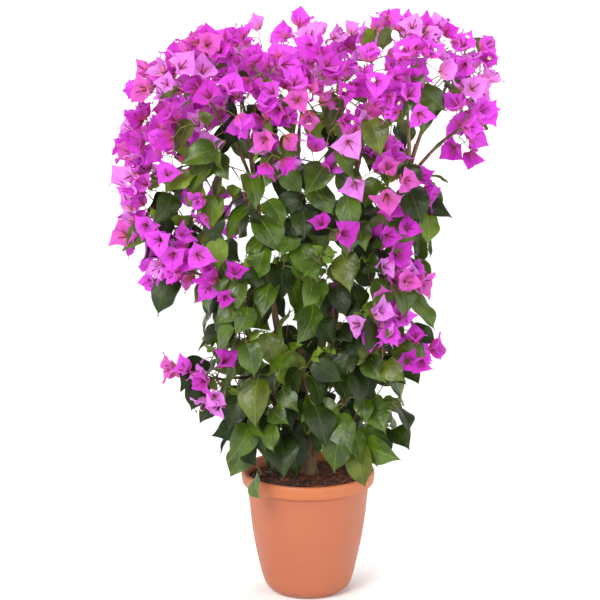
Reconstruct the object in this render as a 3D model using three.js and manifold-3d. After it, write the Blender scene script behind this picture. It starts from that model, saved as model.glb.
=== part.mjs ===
// A bougainvillea bush in a round pot: a short trunk, five stems that fan out above it, boughs, and
// masses of leaves and papery three-pointed blossoms on twigs.
// Millimetres, +Z up. The origin is the middle of the pot's flat underside and -Y is the front.
import * as THREE from "three";
import { mergeVertices } from "three/addons/utils/BufferGeometryUtils.js";
import Module from "manifold-3d";

const wasm = await Module();
wasm.setup();

// Driving dimensions. Whatever meets stands this far clear.
const GAP = 0.3;

const POT = {
  height: 223,
  rimRadius: 120,
  rimHeight: 27,
  rimStep: 9,
  wall: 3,
  shoulderRadius: 108,
  waistRadius: 98.5,
  waistHeight: 102,
  heelRadius: 84,
  heelHeight: 34,
  footRadius: 62,
  bottom: 5,
  sides: 26,
};
const SOIL = { top: 211, edgeDrop: 5, flatRadius: 62 };

const TRUNK = { foot: [2, 4], top: [-2, 6], height: 53, flare: 20, neck: 13, crown: 11.5 };

// The bush fills this half width and half depth, seen from above. Leaves turn their faces outwards
// from it.
const PLAN = { halfWidth: 330, halfDepth: 190 };

const LEAF = { shortest: 84, longest: 106, widthShare: 0.78, widestAt: 0.38, keelShare: 0.05, sunk: 0.3 };
const BLOSSOM = { smallest: 44, largest: 52, cupShare: 0.4, thickness: 5, sunk: 0.4 };
const TWIG = { stemFoot: 4.2, stemTip: 3.2, foot: 2, tip: 1.6 };

// How far to the front or back of its mass a twig ends, as shares of the mass's depth: the least, what
// a draw adds, and what is lost of it towards the mass's sides.
const DEPTH = { least: 0.45, drawn: 0.45, lost: 0.55 };

// The places along a twig, from its tip inwards. Every other twig is bare at the last of them.
const SPOTS = [0.97, 0.74, 0.5];
const GOLDEN_ANGLE = Math.PI * (3 - Math.sqrt(5));

// The ways a twig is tried in, until one is clear of the limbs: swung round its mass, or sent to
// the other side of it.
const TWIG_WAYS = [0, 0.35, -0.35, 0.7, -0.7].flatMap((swing) => [1, -1].map((side) => ({ swing, side })));

// The ways a leaf or blossom is tried in, until one fits: at full size first, then smaller, and
// turned and tilted further and further.
const WAYS = [1, 0.88, 0.76, 0.68].flatMap((scale) =>
  [0, 0.45, -0.45, 0.9, -0.9, 1.5, -1.5, 2.2, -2.2, 3].flatMap((turn) =>
    [0, 0.3, -0.5].map((tilt) => ({ scale, turn, tilt })),
  ),
);

// A leaf or blossom, and a twig, may hang this far over the border between its mass and the next.
// Some of a mass's leaves reach a little further than it does.
const OVERHANG = 42;
const TWIG_OVERHANG = 14;
const FULL_REACH = 1.22;

// The five stems. Each leaves the trunk at a share of its height and curves by two pulls to its tip.
const STEM = { foot: 7.4, end: 3.6 };
const STEMS = [
  { name: "stem_far_left", leaves: 0.62, pulls: [[-80, 0, 330], [-124, 25, 560]], tip: [-184, 5, 700] },
  { name: "stem_left", leaves: 0.84, pulls: [[-45, 20, 380], [-75, -20, 600]], tip: [-102, 5, 805] },
  { name: "stem_middle", leaves: 0.9, pulls: [[-5, 45, 400], [-32, 35, 620]], tip: [-16, 8, 812] },
  { name: "stem_right", leaves: 0.78, pulls: [[42, -20, 380], [58, 20, 620]], tip: [94, 5, 812] },
  { name: "stem_far_right", leaves: 0.56, pulls: [[85, 15, 320], [120, -20, 560]], tip: [186, 0, 800] },
];

// Each bough leaves a stem at a share of its length and ends where it enters the mass it carries. Its
// middle rises by a share of its length.
const BOUGH = { foot: 3.3, end: 2.3, rise: 0.16 };
const BOUGHS = [
  { name: "bough_cascade_lower", from: "stem_far_left", at: 0.62, into: "cascade_lower" },
  { name: "bough_cascade_middle", from: "stem_far_left", at: 0.84, into: "cascade_middle" },
  { name: "bough_cascade_upper", from: "stem_far_left", at: 0.93, into: "cascade_upper" },
  { name: "bough_left_end", from: "stem_far_left", at: 0.98, into: "blossom_left_end" },
  { name: "bough_front_outer_left", from: "stem_left", at: 0.84, into: "blossom_front_outer_left" },
  { name: "bough_front_inner_left", from: "stem_left", at: 0.92, into: "blossom_front_inner_left" },
  { name: "bough_back_left", from: "stem_left", at: 0.97, into: "blossom_back_left" },
  { name: "bough_back_middle", from: "stem_middle", at: 0.97, into: "blossom_back_middle" },
  { name: "bough_front_inner_right", from: "stem_right", at: 0.9, into: "blossom_front_inner_right" },
  { name: "bough_back_right", from: "stem_right", at: 0.97, into: "blossom_back_right" },
  { name: "bough_front_outer_right", from: "stem_far_right", at: 0.93, into: "blossom_front_outer_right" },
  { name: "bough_right_end", from: "stem_far_right", at: 0.98, into: "blossom_right_end" },
  { name: "bough_right_tip", from: "stem_far_right", at: 0.88, into: "blossom_right_tip" },
  { name: "bough_middle_right", from: "stem_far_right", at: 0.5, into: "spray_middle_right" },
  { name: "bough_low_right", from: "stem_far_right", at: 0.3, into: "spray_low_right" },
  { name: "bough_low_left", from: "stem_far_left", at: 0.3, into: "spray_low_left" },
  { name: "bough_skirt_left", from: "stem_far_left", at: 0.09, into: "skirt_left" },
  { name: "bough_skirt_right", from: "stem_far_right", at: 0.09, into: "skirt_right" },
];

// What each kind of mass has: its number of twigs, the share of its places that blossom, and how far
// its own stem leans forwards and rises, as shares of its reach.
const KINDS = {
  crown: { twigs: 7, bloom: 0.92, forwards: 0, rise: 0.5 },
  edge: { twigs: 6, bloom: 0.92, forwards: 0, rise: 0.5 },
  tip: { twigs: 4, bloom: 0.95, forwards: 0, rise: 0.1 },
  shoulder: { twigs: 6, bloom: 0.28, forwards: 0.4, rise: 0.24 },
  cascade: { twigs: 6, bloom: 0.88, forwards: 0.1, rise: 0.02 },
  leaves: { twigs: 6, bloom: 0.06, forwards: 0.36, rise: 0.28 },
  foot: { twigs: 6, bloom: 0, forwards: 0.36, rise: 0.28 },
  spray: { twigs: 6, bloom: 0.54, forwards: 0.24, rise: 0.08 },
  sprig: { twigs: 3, bloom: 0.4, forwards: 0.2, rise: 0 },
  skirt: { twigs: 7, bloom: 0, forwards: 0.3, rise: 0.14 },
};

// The masses: where each is centred and how far it reaches along X, Y and Z.
const MASSES = [
  { name: "blossom_left_end", kind: "edge", at: [-218, 5, 838], reach: [62, 98, 74] },
  { name: "blossom_front_outer_left", kind: "crown", at: [-166, -75, 884], reach: [66, 88, 80] },
  { name: "blossom_front_inner_left", kind: "crown", at: [-66, -95, 889], reach: [70, 85, 86] },
  { name: "blossom_front_inner_right", kind: "crown", at: [48, -95, 885], reach: [70, 85, 86] },
  { name: "blossom_front_outer_right", kind: "crown", at: [160, -75, 932], reach: [70, 90, 92] },
  { name: "blossom_back_left", kind: "edge", at: [-120, 88, 898], reach: [70, 88, 86] },
  { name: "blossom_back_middle", kind: "edge", at: [-8, 92, 880], reach: [72, 88, 84] },
  { name: "blossom_back_right", kind: "edge", at: [106, 88, 922], reach: [74, 90, 92] },
  { name: "blossom_right_end", kind: "edge", at: [248, 18, 922], reach: [62, 88, 80] },
  { name: "blossom_right_tip", kind: "tip", at: [284, -20, 850], reach: [48, 66, 56] },
  { name: "shoulder_left", kind: "shoulder", at: [-154, 0, 768], reach: [70, 130, 64] },
  { name: "shoulder_middle", kind: "shoulder", at: [-30, 0, 770], reach: [76, 140, 64] },
  { name: "shoulder_right", kind: "shoulder", at: [94, 0, 776], reach: [70, 132, 64] },
  { name: "cascade_upper", kind: "cascade", at: [-262, -15, 752], reach: [66, 88, 54] },
  { name: "cascade_middle", kind: "cascade", at: [-262, -20, 668], reach: [72, 84, 50] },
  { name: "cascade_lower", kind: "cascade", at: [-190, -25, 584], reach: [64, 78, 50] },
  { name: "leaves_high_left", kind: "leaves", at: [-140, 0, 662], reach: [70, 115, 66] },
  { name: "leaves_high_middle", kind: "leaves", at: [-28, 0, 660], reach: [70, 120, 66] },
  { name: "leaves_high_right", kind: "leaves", at: [80, 0, 665], reach: [68, 115, 66] },
  { name: "spray_high_right", kind: "spray", at: [152, -10, 700], reach: [50, 80, 64] },
  { name: "leaves_middle_left", kind: "leaves", at: [-90, 0, 545], reach: [70, 112, 66] },
  { name: "leaves_middle_right", kind: "leaves", at: [22, 0, 545], reach: [70, 112, 66] },
  { name: "spray_middle_right", kind: "spray", at: [128, -15, 566], reach: [62, 85, 62] },
  { name: "leaves_low_left", kind: "leaves", at: [-114, 0, 437], reach: [62, 110, 66] },
  { name: "leaves_low_middle", kind: "foot", at: [-18, 0, 434], reach: [66, 115, 66] },
  { name: "leaves_low_right", kind: "foot", at: [70, 0, 438], reach: [58, 110, 66] },
  { name: "spray_low_right", kind: "spray", at: [140, -28, 440], reach: [48, 70, 62] },
  { name: "spray_low_left", kind: "sprig", at: [-168, -25, 393], reach: [38, 52, 36] },
  { name: "leaves_foot_left", kind: "foot", at: [-62, 0, 351], reach: [60, 110, 52] },
  { name: "leaves_foot_right", kind: "foot", at: [34, 0, 349], reach: [60, 110, 52] },
  { name: "skirt_left", kind: "skirt", at: [-92, 0, 322], reach: [57, 112, 55] },
  { name: "skirt_right", kind: "skirt", at: [95, 0, 315], reach: [56, 112, 60] },
];

const SHEEN = {
  pot: { color: 0xd8825a, roughness: 0.55 },
  soil: { color: 0x35241c, roughness: 0.95 },
  bark: { color: 0x6f5a45, roughness: 0.85 },
  leaf: { color: 0x4c7a2c, roughness: 0.45 },
  bloom: { color: 0xd63ee6, roughness: 0.6 },
};

const vector = (p) => new THREE.Vector3(p[0], p[1], p[2]);
const UP = new THREE.Vector3(0, 0, 1);

// Seeded draws between 0 and 1, the same in every run.
function seededDraws(seed) {
  let state = seed >>> 0;
  return () => {
    state = (state + 0x6d2b79f5) >>> 0;
    let t = Math.imul(state ^ (state >>> 15), state | 1);
    t ^= t + Math.imul(t ^ (t >>> 7), t | 61);
    return ((t ^ (t >>> 14)) >>> 0) / 4294967296;
  };
}

// A closed geometry as a solid that can be joined and cut.
function solidOf(geometry) {
  const bare = new THREE.BufferGeometry();
  bare.setAttribute("position", geometry.getAttribute("position"));
  bare.setIndex(geometry.getIndex());
  const merged = mergeVertices(bare, 1e-4);
  return new wasm.Manifold(
    new wasm.Mesh({
      numProp: 3,
      vertProperties: merged.attributes.position.array,
      triVerts: new Uint32Array(merged.index.array),
    }),
  );
}

// The biggest piece of a solid: loose scraps go, and so do the walls of hollows sealed inside it.
function mainPiece(solid) {
  const pieces = solid.decompose();
  pieces.sort((a, b) => b.volume() - a.volume());
  return pieces[0];
}

function meshOf(name, solid, sheen) {
  const mesh = solid.getMesh();
  const count = mesh.vertProperties.length / mesh.numProp;
  const places = new Float32Array(count * 3);
  for (let i = 0; i < count; i++) {
    places.set(mesh.vertProperties.subarray(i * mesh.numProp, i * mesh.numProp + 3), i * 3);
  }
  const geometry = new THREE.BufferGeometry();
  geometry.setAttribute("position", new THREE.BufferAttribute(places, 3));
  geometry.setIndex(new THREE.BufferAttribute(new Uint32Array(mesh.triVerts), 1));
  geometry.computeVertexNormals();
  const material = new THREE.MeshStandardMaterial({ ...sheen, metalness: 0 });
  const made = new THREE.Mesh(geometry, material);
  made.name = name;
  return made;
}

// A round solid turned about Z from a profile of [radius, height] pairs that starts and ends on
// the axis or closes on itself.
function turned(profile, sides) {
  const lathe = new THREE.LatheGeometry(
    profile.map(([radius, height]) => new THREE.Vector2(radius, height)),
    sides,
  );
  return solidOf(lathe.rotateX(Math.PI / 2));
}

// Points on a quarter of an ellipse from one corner of a profile to another, bulging to the side
// of the first radius and the second height, or the other way round.
function roundedCorner([r0, h0], [r1, h1], steps) {
  const points = [];
  for (let i = 0; i <= steps; i++) {
    const angle = (i / steps) * (Math.PI / 2);
    points.push([r0 + (r1 - r0) * Math.sin(angle), h1 + (h0 - h1) * Math.cos(angle)]);
  }
  return points;
}

// The pot's outside, from the flat underside up to the rim: a rounded heel, a wall that widens to
// the shoulder, and a rim that stands proud of it.
function potOutside() {
  const rimFoot = POT.height - POT.rimHeight;
  return [
    ...roundedCorner([POT.footRadius, 0], [POT.heelRadius, POT.heelHeight], 3),
    [POT.waistRadius, POT.waistHeight],
    [POT.shoulderRadius, rimFoot],
    [POT.shoulderRadius + POT.rimStep, rimFoot + 2],
    [POT.rimRadius, POT.height - 6],
    [POT.rimRadius - 2, POT.height],
  ];
}

// How wide the pot is inside at a height.
function insideRadius(height) {
  const wall = potOutside().slice(0, -3);
  for (let i = 1; i < wall.length; i++) {
    const [r0, h0] = wall[i - 1];
    const [r1, h1] = wall[i];
    if (height <= h1) {
      return r0 + ((r1 - r0) * (height - h0)) / (h1 - h0) - POT.wall;
    }
  }
  return POT.shoulderRadius - POT.wall;
}

// The levels at which the inside of the pot and the side of the soil change their slope.
function insideLevels(lowest, highest) {
  return [lowest, POT.heelHeight * 0.5, POT.heelHeight, POT.waistHeight, highest];
}

function makePot() {
  const rimFoot = POT.height - POT.rimHeight;
  const inside = insideLevels(POT.bottom, rimFoot).map((height) => [insideRadius(height), height]);
  const lip = [POT.rimRadius - POT.rimStep, POT.height - 1];
  const profile = [[0, 0], ...potOutside(), lip, ...inside.reverse(), [0, POT.bottom]];
  return turned(profile, POT.sides);
}

function makeSoil() {
  const edgeTop = SOIL.top - SOIL.edgeDrop;
  const side = insideLevels(POT.bottom + GAP, edgeTop).map((height) => [insideRadius(height) - GAP, height]);
  const profile = [[0, POT.bottom + GAP], ...side, [SOIL.flatRadius, SOIL.top], [0, SOIL.top]];
  return turned(profile, POT.sides);
}

// A round tube that tapers along a curve, with flat ends. swell makes it thicker all over and
// longer at both ends, for cutting its neighbours clear of it.
function taperedTube(curve, radiusAt, sides, steps, swell = 0) {
  const tube = new THREE.CylinderGeometry(1, 1, 1, sides, steps);
  const frames = curve.computeFrenetFrames(steps, false);
  const place = tube.getAttribute("position");
  for (let i = 0; i < place.count; i++) {
    const step = Math.round((place.getY(i) + 0.5) * steps);
    const share = step / steps;
    const radius = radiusAt(share) + swell;
    const spot = curve.getPointAt(share);
    if (step === 0) {
      spot.addScaledVector(frames.tangents[0], -swell);
    }
    if (step === steps) {
      spot.addScaledVector(frames.tangents[steps], swell);
    }
    spot.addScaledVector(frames.normals[step], place.getX(i) * radius);
    spot.addScaledVector(frames.binormals[step], -place.getZ(i) * radius);
    place.setXYZ(i, spot.x, spot.y, spot.z);
  }
  return solidOf(tube);
}

// The trunk: flared at its flat foot on the soil, and leaning a little.
const trunkFoot = new THREE.Vector3(TRUNK.foot[0], TRUNK.foot[1], SOIL.top + GAP);
const trunkTop = new THREE.Vector3(TRUNK.top[0], TRUNK.top[1], SOIL.top + TRUNK.height);

function trunkRadius(share) {
  const flared = TRUNK.neck + (TRUNK.flare - TRUNK.neck) * Math.max(0, 1 - share * 3) ** 2;
  return share < 0.34 ? flared : TRUNK.neck + (TRUNK.crown - TRUNK.neck) * share;
}

const trunkBend = trunkFoot.clone().addScaledVector(UP, TRUNK.height * 0.4);
const trunkCurve = new THREE.QuadraticBezierCurve3(trunkFoot, trunkBend, trunkTop);

function straightTaper(foot, end) {
  return (share) => foot + (end - foot) * share;
}

// How far a mass reaches from its centre in a direction.
function reachAlong(mass, direction) {
  const [x, y, z] = mass.reach;
  return 1 / Math.hypot(direction.x / x, direction.y / y, direction.z / z);
}

// All limbs, each with its curve, its radius along it, and the number of sides and steps.
function planLimbs() {
  const limbs = [];
  for (const stem of STEMS) {
    const start = trunkCurve.getPoint(stem.leaves);
    const curve = new THREE.CubicBezierCurve3(start, ...stem.pulls.map(vector), vector(stem.tip));
    limbs.push({ name: stem.name, curve, radiusAt: straightTaper(STEM.foot, STEM.end), sides: 5, steps: 6 });
  }
  for (const bough of BOUGHS) {
    const start = limbs.find((limb) => limb.name === bough.from).curve.getPointAt(bough.at);
    const mass = MASSES.find((one) => one.name === bough.into);
    const centre = vector(mass.at);
    const back = start.clone().sub(centre);
    const far = back.length();
    back.normalize();
    const inside = Math.min(0.5 * reachAlong(mass, back), 0.6 * far);
    const end = centre.addScaledVector(back, inside);
    const bend = start.clone().lerp(end, 0.5).addScaledVector(UP, BOUGH.rise * far);
    const curve = new THREE.QuadraticBezierCurve3(start, bend, end);
    const radiusAt = straightTaper(BOUGH.foot, BOUGH.end);
    limbs.push({ name: bough.name, curve, radiusAt, sides: 5, steps: 3 });
  }
  return limbs;
}

const limbs = planLimbs();

// Points along all the limbs, from which masses spring.
const limbPoints = limbs.flatMap((limb) => limb.curve.getSpacedPoints(40));

// Each mass keeps to its own cell: the places nearer to it than to any other mass, weighed by size.
const cells = MASSES.map((mass) => ({ centre: vector(mass.at), weight: mass.reach[0] * mass.reach[2] }));

function insideCell(index, place, margin) {
  const own = cells[index];
  const ownPower = place.distanceToSquared(own.centre) - own.weight;
  return cells.every((other, i) => {
    if (i === index) {
      return true;
    }
    const power = place.distanceToSquared(other.centre) - other.weight;
    return power - ownPower >= 2 * margin * own.centre.distanceTo(other.centre);
  });
}

function insideReach(mass, place, share) {
  const [x, y, z] = mass.reach;
  const off = place.clone().sub(vector(mass.at));
  return Math.hypot(off.x / x, off.y / y, off.z / z) <= share;
}

function outwards(place) {
  const out = new THREE.Vector3(place.x / PLAN.halfWidth ** 2, place.y / PLAN.halfDepth ** 2, 0);
  return out.lengthSq() < 1e-12 ? new THREE.Vector3(0, -1, 0) : out.normalize();
}

// The rule by which a mass grows. Its own stem runs from its limb through its middle. Twigs run
// from that stem to ends spread evenly over the front and the back of its space. Each twig has
// places for a leaf or a blossom, which are listed with the draws that turn and size them.
function growMass(mass, index) {
  const draw = seededDraws(1000 + 77 * index);
  const kind = KINDS[mass.kind];
  const centre = vector(mass.at);
  const near = limbPoints.filter((point) => insideCell(index, point, 1));
  const foot = near.reduce((a, b) => (a.distanceTo(centre) < b.distanceTo(centre) ? a : b));
  const lean = new THREE.Vector3(centre.x / 700, centre.y / 350 - kind.forwards * 0.75, kind.rise * 0.75);
  const tip = lean.multiply(vector(mass.reach)).add(centre);
  const middle = foot.clone().lerp(tip, 0.5).addScaledVector(UP, 6);
  const stem = new THREE.QuadraticBezierCurve3(foot, middle, tip);
  const twigs = [];
  const startTurn = draw() * Math.PI * 2;
  for (let k = 0; k < kind.twigs; k++) {
    const turn = startTurn + k * GOLDEN_ANGLE;
    const spread = 0.94 * Math.sqrt((k + 0.6) / kind.twigs);
    const left = Math.sqrt(1 - DEPTH.lost * spread * spread);
    const depth = (k % 2 ? 1 : -1) * left * (DEPTH.least + DEPTH.drawn * draw());
    const lines = TWIG_WAYS.map(({ swing, side }) => {
      const [across, rise] = [spread * Math.cos(turn + swing), spread * Math.sin(turn + swing)];
      const end = new THREE.Vector3(across, depth * side, rise).multiply(vector(mass.reach)).add(centre);
      return new THREE.LineCurve3(stem.getPoint(0.3 + 0.31 * (rise + 1)), end);
    });
    const places = SPOTS.slice(0, k % 2 ? 2 : 3).map((along) => ({
      along,
      kind: draw() < kind.bloom ? "blossom" : "leaf",
      size: draw(),
      yaw: (draw() - 0.5) * 2,
      droop: draw(),
      roll: (draw() - 0.5) * 2,
    }));
    twigs.push({ lines, places });
  }
  return { stem, twigs };
}

// A solid with its box, for quick tests of what can touch what.
function boxed(solid) {
  return { solid, box: solid.boundingBox() };
}

function apart(one, other) {
  for (let k = 0; k < 3; k++) {
    if (one.box.min[k] > other.box.max[k] || other.box.min[k] > one.box.max[k]) {
      return true;
    }
  }
  return one.solid.intersect(other.solid).isEmpty();
}

// A leaf as a keeled kite: its own outline of base, sides and tip, thin but solid. swell makes it
// larger on all sides.
function leafSolid({ base, pointing, face, length }, swell) {
  const leaf = new THREE.TetrahedronGeometry(1, 0);
  const side = face.clone().cross(pointing);
  const place = leaf.getAttribute("position");
  for (let i = 0; i < place.count; i++) {
    const [x, z] = [place.getX(i), place.getZ(i)];
    const spot = base.clone();
    if (z > 0) {
      spot.addScaledVector(pointing, x > 0 ? length + swell : -LEAF.sunk);
      spot.addScaledVector(face, -swell);
    } else {
      spot.addScaledVector(pointing, LEAF.widestAt * length);
      spot.addScaledVector(side, Math.sign(x) * (0.5 * LEAF.widthShare * length + swell));
      spot.addScaledVector(face, LEAF.keelShare * length + swell);
    }
    place.setXYZ(i, spot.x, spot.y, spot.z);
  }
  return solidOf(leaf);
}

// A blossom: three points round a middle that is sunk into its twig, raised like a cup.
function blossomSolid({ base, axis, spin, radius }, swell) {
  const star = new THREE.SphereGeometry(1, 3, 2);
  const reference = Math.abs(axis.z) < 0.9 ? UP : new THREE.Vector3(1, 0, 0);
  const first = reference.clone().cross(axis).normalize();
  const second = axis.clone().cross(first);
  const place = star.getAttribute("position");
  for (let i = 0; i < place.count; i++) {
    const [x, y, z] = [place.getX(i), place.getY(i), place.getZ(i)];
    const spot = base.clone();
    if (Math.abs(y) > 0.5) {
      spot.addScaledVector(axis, y > 0 ? BLOSSOM.thickness + swell : -BLOSSOM.sunk);
    } else {
      const angle = spin - Math.atan2(z, x);
      spot.addScaledVector(first, (radius + swell) * Math.cos(angle));
      spot.addScaledVector(second, (radius + swell) * Math.sin(angle));
      spot.addScaledVector(axis, radius * BLOSSOM.cupShare);
    }
    place.setXYZ(i, spot.x, spot.y, spot.z);
  }
  return solidOf(star);
}

// A way turned off the line of its twig, as much as it may be at that place along the twig.
function turnedOff(way, twig, along) {
  const ahead = twig.line.v2.clone().sub(twig.line.v1).normalize();
  const most = along > 0.9 ? 0.9 : 0.35;
  const same = way.dot(ahead);
  if (Math.abs(same) > most) {
    way.addScaledVector(ahead, -same).normalize().multiplyScalar(Math.sqrt(1 - most * most));
    way.addScaledVector(ahead, Math.sign(same) * most);
  }
  return way;
}

// How a leaf sits: it points outwards and droops, with its face turned up and outwards.
function leafPose(mark, base, { turn, tilt, scale }, twig) {
  const out = outwards(base);
  const side = new THREE.Vector3(-out.y, out.x, 0);
  const yaw = mark.yaw * 0.7 + turn;
  const flat = out.clone().multiplyScalar(Math.cos(yaw)).addScaledVector(side, Math.sin(yaw));
  const droop = 0.85 + 0.5 * mark.droop + tilt;
  const pointing = flat.clone().multiplyScalar(Math.cos(droop)).addScaledVector(UP, -Math.sin(droop));
  turnedOff(pointing, twig, mark.along);
  const face = flat.clone().addScaledVector(UP, 0.4);
  face.addScaledVector(pointing, -face.dot(pointing)).normalize();
  face.applyAxisAngle(pointing, mark.roll * 0.5);
  const length = (LEAF.shortest + (LEAF.longest - LEAF.shortest) * mark.size) * scale;
  return { base, pointing, face, length };
}

// How a blossom sits: it opens away from the middle of its mass and of the bush.
function blossomPose(mark, base, { turn, tilt, scale }, twig, mass) {
  const off = base.clone().sub(vector(mass.at)).divide(vector(mass.reach));
  const axis = outwards(base).multiplyScalar(0.8).addScaledVector(off, 0.9).addScaledVector(UP, 0.3 - tilt);
  axis.normalize().applyAxisAngle(UP, mark.yaw * 0.7 + turn);
  turnedOff(axis, twig, mark.along);
  const radius = (BLOSSOM.smallest + (BLOSSOM.largest - BLOSSOM.smallest) * mark.size) * scale;
  return { base, axis, spin: mark.droop * Math.PI, radius };
}

// Whether a solid stays within the reach of a mass and not more than overhang beyond its cell.
function staysIn(solid, plant, overhang) {
  const mesh = solid.getMesh();
  const at = new THREE.Vector3();
  for (let i = 0; i < mesh.vertProperties.length; i += 3) {
    at.fromArray(mesh.vertProperties, i);
    if (!insideCell(plant.index, at, GAP - overhang) || !insideReach(plant.mass, at, FULL_REACH)) {
      return false;
    }
  }
  return true;
}

// The first way of turning a leaf or blossom that leaves everything else clear, or nothing.
function fitted(plant, twig, mark, plants, obstacles) {
  const base = twig.line.getPoint(mark.along);
  const pose = mark.kind === "leaf" ? leafPose : blossomPose;
  const shape = mark.kind === "leaf" ? leafSolid : blossomSolid;
  for (const way of WAYS) {
    const sits = pose(mark, base, way, twig, plant.mass);
    const made = boxed(shape(sits, 0));
    const room = boxed(shape(sits, 2 * GAP));
    const clear = (piece) => piece === twig.piece || apart(room, piece);
    const fits = staysIn(made.solid, plant, OVERHANG) && apart(made, obstacles);
    if (fits && plants.every((other) => other.pieces.every(clear))) {
      return made;
    }
  }
  return null;
}

// The stem and twigs of a mass, each twig with its places for leaves and blossoms.
function startMass(mass, index, plants, obstacles) {
  const plan = growMass(mass, index);
  const stem = boxed(taperedTube(plan.stem, straightTaper(TWIG.stemFoot, TWIG.stemTip), 4, 2));
  const plant = { mass, index, twigs: [], pieces: [stem] };
  for (const { lines, places } of plan.twigs) {
    for (const line of lines) {
      const piece = boxed(taperedTube(line, straightTaper(TWIG.foot, TWIG.tip), 3, 1));
      const clear = plants.every((other) => other.pieces.every((one) => apart(piece, one)));
      if (clear && staysIn(piece.solid, plant, TWIG_OVERHANG) && apart(piece, obstacles)) {
        plant.twigs.push({ line, piece, places });
        plant.pieces.push(piece);
        break;
      }
    }
  }
  return plant;
}

// All masses. The outermost places fill first, then the ones further in.
function makeMasses(limbsAndPot) {
  const obstacles = boxed(limbsAndPot);
  const plants = [];
  MASSES.forEach((mass, index) => plants.push(startMass(mass, index, plants, obstacles)));
  for (const spot of SPOTS.keys()) {
    for (const plant of plants) {
      for (const twig of plant.twigs.filter((one) => one.places[spot])) {
        const made = fitted(plant, twig, twig.places[spot], plants, obstacles);
        if (made) {
          plant.pieces.push(made);
        }
      }
    }
  }
  return plants.map((plant) => {
    const joined = wasm.Manifold.union(plant.pieces.map((piece) => piece.solid));
    return mainPiece(joined.subtract(limbsAndPot));
  });
}

// The limbs as solids. Each is cut clear of the trunk and of the limbs before it, and its swollen
// form is kept to cut the ones after it.
function makeLimbs() {
  const made = [];
  const trunk = taperedTube(trunkCurve, trunkRadius, 10, 5);
  let swollen = taperedTube(trunkCurve, trunkRadius, 10, 5, GAP);
  made.push(["trunk", trunk]);
  for (const limb of limbs) {
    const solid = taperedTube(limb.curve, limb.radiusAt, limb.sides, limb.steps);
    made.push([limb.name, mainPiece(solid.subtract(swollen))]);
    swollen = swollen.add(taperedTube(limb.curve, limb.radiusAt, limb.sides, limb.steps, GAP));
  }
  return { made, swollen };
}

function buildBush() {
  const group = new THREE.Group();
  const pot = makePot();
  const soil = makeSoil();
  group.add(meshOf("pot", pot, SHEEN.pot));
  group.add(meshOf("soil", soil, SHEEN.soil));
  const { made, swollen } = makeLimbs();
  for (const [name, solid] of made) {
    group.add(meshOf(name, solid, SHEEN.bark));
  }
  makeMasses(swollen.add(pot).add(soil)).forEach((solid, index) => {
    const mass = MASSES[index];
    group.add(meshOf(mass.name, solid, KINDS[mass.kind].bloom > 0.5 ? SHEEN.bloom : SHEEN.leaf));
  });
  return group;
}

const bush = buildBush();

export default bush;
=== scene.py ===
# A bougainvillea bush in its pot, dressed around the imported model. Everything is in metres.
# The bush grows by the same rule as the model's solids, carried on to finer twigs, to leaves and
# to papery blossoms of three bracts.
import functools
import math
import random

import bpy
import numpy as np
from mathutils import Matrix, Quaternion, Vector, noise


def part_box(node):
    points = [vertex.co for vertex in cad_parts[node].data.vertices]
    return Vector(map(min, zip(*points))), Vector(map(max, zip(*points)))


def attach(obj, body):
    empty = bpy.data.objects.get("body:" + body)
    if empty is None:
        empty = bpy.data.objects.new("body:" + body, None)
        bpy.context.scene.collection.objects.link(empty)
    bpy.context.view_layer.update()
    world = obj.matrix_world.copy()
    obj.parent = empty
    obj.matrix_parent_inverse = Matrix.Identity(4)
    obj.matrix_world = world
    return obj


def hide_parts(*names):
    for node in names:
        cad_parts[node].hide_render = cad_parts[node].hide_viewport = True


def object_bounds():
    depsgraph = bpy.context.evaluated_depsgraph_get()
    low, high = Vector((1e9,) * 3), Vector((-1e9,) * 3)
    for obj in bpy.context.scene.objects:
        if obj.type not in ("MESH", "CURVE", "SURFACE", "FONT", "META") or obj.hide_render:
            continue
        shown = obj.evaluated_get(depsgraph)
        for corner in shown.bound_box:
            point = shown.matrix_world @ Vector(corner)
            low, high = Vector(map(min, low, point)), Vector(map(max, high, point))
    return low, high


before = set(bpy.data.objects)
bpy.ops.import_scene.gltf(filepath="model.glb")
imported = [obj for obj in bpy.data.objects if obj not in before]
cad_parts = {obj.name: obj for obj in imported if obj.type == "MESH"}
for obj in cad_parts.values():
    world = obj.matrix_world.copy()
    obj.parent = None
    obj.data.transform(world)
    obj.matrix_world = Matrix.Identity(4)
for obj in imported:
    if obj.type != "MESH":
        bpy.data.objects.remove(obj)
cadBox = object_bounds()
up = Vector((0, 0, 1))
fullTurn = 2 * math.pi
goldenAngle = math.pi * (3 - math.sqrt(5))
print("frame loaded:", len(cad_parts), "nodes")


# The pot and the soil, with their main sizes from the frame.

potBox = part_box("pot")
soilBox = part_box("soil")
pot = {
    "height": potBox[1].z,
    "rimRadius": max(potBox[1].x, potBox[1].y),
    "rimHeight": 0.027,
    "rimStep": 0.009,
    "shoulderRadius": 0.108,
    "waistRadius": 0.0985,
    "waistHeight": 0.102,
    "heelRadius": 0.084,
    "heelHeight": 0.034,
    "footRadius": 0.062,
    "wall": 0.003,
    "sides": 128,
    "wobble": 0.0012,
}
soil = {
    "top": soilBox[1].z,
    "radius": pot["shoulderRadius"] - pot["wall"] - 0.0004,
    "rings": 44,
    "sides": 120,
    "bumps": 0.0042,
    "edgeDrop": 0.0048,
    "mound": 0.0035,
    "crumbs": 820,
    "crumbSize": (0.0008, 0.0030),
    "specks": 70,
    "speckSize": (0.0006, 0.0013),
    "fibres": 290,
    "fibreLength": (0.006, 0.022),
    "fibreRadius": 0.0004,
    "fibreLift": 0.0006,
}


# The bush: trunk, stems, boughs and masses, as the model has them.

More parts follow.
